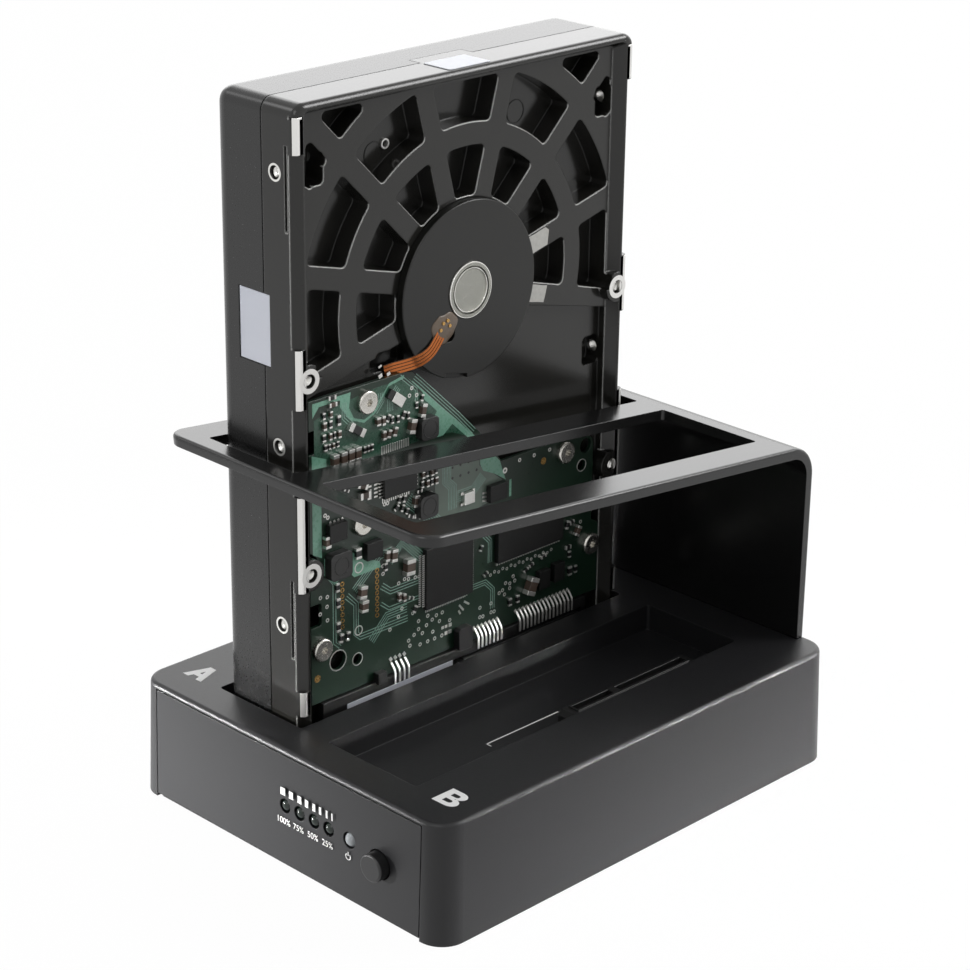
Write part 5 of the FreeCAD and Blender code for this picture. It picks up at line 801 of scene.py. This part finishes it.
# bundles of tracks: how many, the spacing between them, then the corner points of the first
TRACKS = (
    (4, 0.62, ((-15.8, 77.4), (-14.0, 75.8), (-2.4, 64.9), (2.6, 59.8))),
    (2, 0.6, ((-19.6, 79.2), (-14.8, 75.0), (-14.8, 72.6))),
    (5, 0.55, ((-21.9, 35.5), (-18.6, 38.9), (-13.6, 33.8))),
    (4, 0.6, ((-32.6, 31.8), (-25.2, 37.9), (-22.0, 37.9))),
    (3, 0.7, ((-35.9, 31.4), (-33.4, 29.0), (-33.4, 21.8), (-31.6, 20.1), (-17.0, 20.1))),
    (3, 0.7, ((-25.4, 30.6), (-22.4, 28.4), (-13.4, 28.4))),
    (2, 0.7, ((-25.4, 26.6), (-22.8, 24.6), (-13.4, 24.6))),
    (4, 0.65, ((-27.5, 17.9), (-23.0, 22.4), (-17.2, 22.4))),
    (6, 0.5, ((-6.2, 56.6), (-6.2, 50.4), (-4.4, 48.6), (-4.4, 43.4))),
    (6, 0.5, ((5.8, 49.9), (3.0, 47.4), (-1.6, 47.4))),
    (7, 0.5, ((-17.9, 48.6), (-8.2, 39.9), (-8.2, 36.6))),
    (3, 0.6, ((3.4, 21.4), (7.6, 21.4), (9.6, 19.4), (9.6, 14.6))),
    (5, 0.55, ((-26.4, 72.4), (-24.2, 74.8), (-24.2, 77.0))),
    (4, 0.55, ((-21.6, 72.0), (-21.6, 74.2), (-19.4, 76.4))),
    (3, 0.6, ((-36.4, 77.4), (-36.4, 73.8), (-33.8, 71.2))),
    (4, 0.6, ((18.2, 36.0), (14.0, 39.4), (5.4, 39.4))),
    (3, 0.6, ((4.6, 35.8), (8.6, 31.8), (8.6, 26.6))),
    (2, 0.8, ((-41.6, 38.6), (-39.5, 35.9), (-39.5, 21.6), (-37.8, 20.0))))
tracks = bmesh.new()
for count, pitch, corners in TRACKS:
    for k in range(count):
        shifted = []
        for i, (y, z) in enumerate(corners):
            before, after = corners[max(i - 1, 0)], corners[min(i + 1, len(corners) - 1)]
            dy, dz = after[0] - before[0], after[1] - before[1]
            size = math.hypot(dy, dz)
            shifted.append(on_drive(FACE + 0.004, y - dz / size * pitch * k, z + dy / size * pitch * k))
        ribbon(tracks, shifted, 0.2 * MM, FILM * MM)
piece("board_tracks", "drive", TRACK_GREEN, tracks)

# the connector's pins: from their lands, over the block's edge and down into it
PIN_PATH = ((0.12, 11.4), (0.35, 11.0), (1.2, 9.7), (1.35, 8.4), (1.35, 6.6))     # out of the board, up it
pins = bmesh.new()
for first, count, pitch in ((-22.3, 4, 1.4), (4.2, 7, 1.27), (18.0, 15, 1.27)):
    for i in range(count):
        y = first + pitch * i
        path = smooth_path([on_drive(FACE + out, y + 0.12 * out, z) for out, z in PIN_PATH], 3)
        ribbon(pins, path, 0.52 * MM, 0.22 * MM)
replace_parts(piece("plug_pin_row", "drive", TIN, pins), "plug_pins")

# the controller's leads: feet on the board and shoulders beside the body
LEADS, LEAD_PITCH, LEAD_WIDE, LEAD_THICK = 25, 0.52, 0.32, 0.12
FOOT, SHOULDER = FACE + 0.02, FACE + 0.62
gull = bmesh.new()
for i in range(LEADS):
    along, across = 22.5 + LEAD_PITCH * i, -11.4 + LEAD_PITCH * i
    for foot, shoulder in ((-13.25, -12.75), (3.25, 2.75)):
        panel(gull, turned(foot, along, 0.8, LEAD_WIDE, 0), FOOT, LEAD_THICK)
        panel(gull, turned(shoulder, along, 0.75, LEAD_WIDE, 0), SHOULDER, LEAD_THICK)
    panel(gull, turned(across, 20.75, 0.26, 0.8, 0), FOOT, LEAD_THICK)
    panel(gull, turned(across, 21.25, 0.26, 0.7, 0), SHOULDER, LEAD_THICK)
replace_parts(piece("controller_gull_leads", "drive", LEAD, gull, 0.04), "controller_leads")

# the solder on the strips' far ends
clips = bmesh.new()
for y, z, long, high in ((-25.5, 81.0, 1.1, 0.9), (-23.1, 80.9, 1.0, 0.8), (-25.6, 83.2, 1.0, 0.5)):
    panel(clips, turned(y, z, long, high, 20), FACE + 0.1, 0.3)
piece("flex_end_clips", "drive", TIN, clips, 0.08)
# the oscillator's can with its four corner lands, and the quartz crystal on its black base
cans = bmesh.new()
panel(cans, turned(1.4, 45.2, 3.3, 2.9, 0), FACE + 0.02, 1.1)
panel(cans, turned(-20.4, 74.4, 3.6, 2.4, -38), FACE + 0.02, 0.9)
for y, z in turned(1.4, 45.2, 3.6, 2.6, 0):
    panel(cans, turned(y, z, 0.9, 0.7, 0), FACE + 0.01, 0.5)
piece("board_metal_cans", "drive", TIN, cans, 0.12)
crystal = bmesh.new()
panel(crystal, turned(-22.6, 76.1, 1.5, 2.2, -38), FACE + 0.02, 0.85)
piece("board_crystal_base", "drive", RESISTOR, crystal, 0.08)
# the moulded ring on top of each inductor
rims = bmesh.new()
for y, z in ((-12.2, 65.9), (-12.3, 47.3), (-38.7, 40.8)):
    washer(rims, on_drive(FACE + 2.2, y, z), Y, Z, X * 0.06 * MM, 2.15 * MM, 1.95 * MM, steps=28)
piece("inductor_top_rings", "drive", FINISHES["ferrite"], rims)
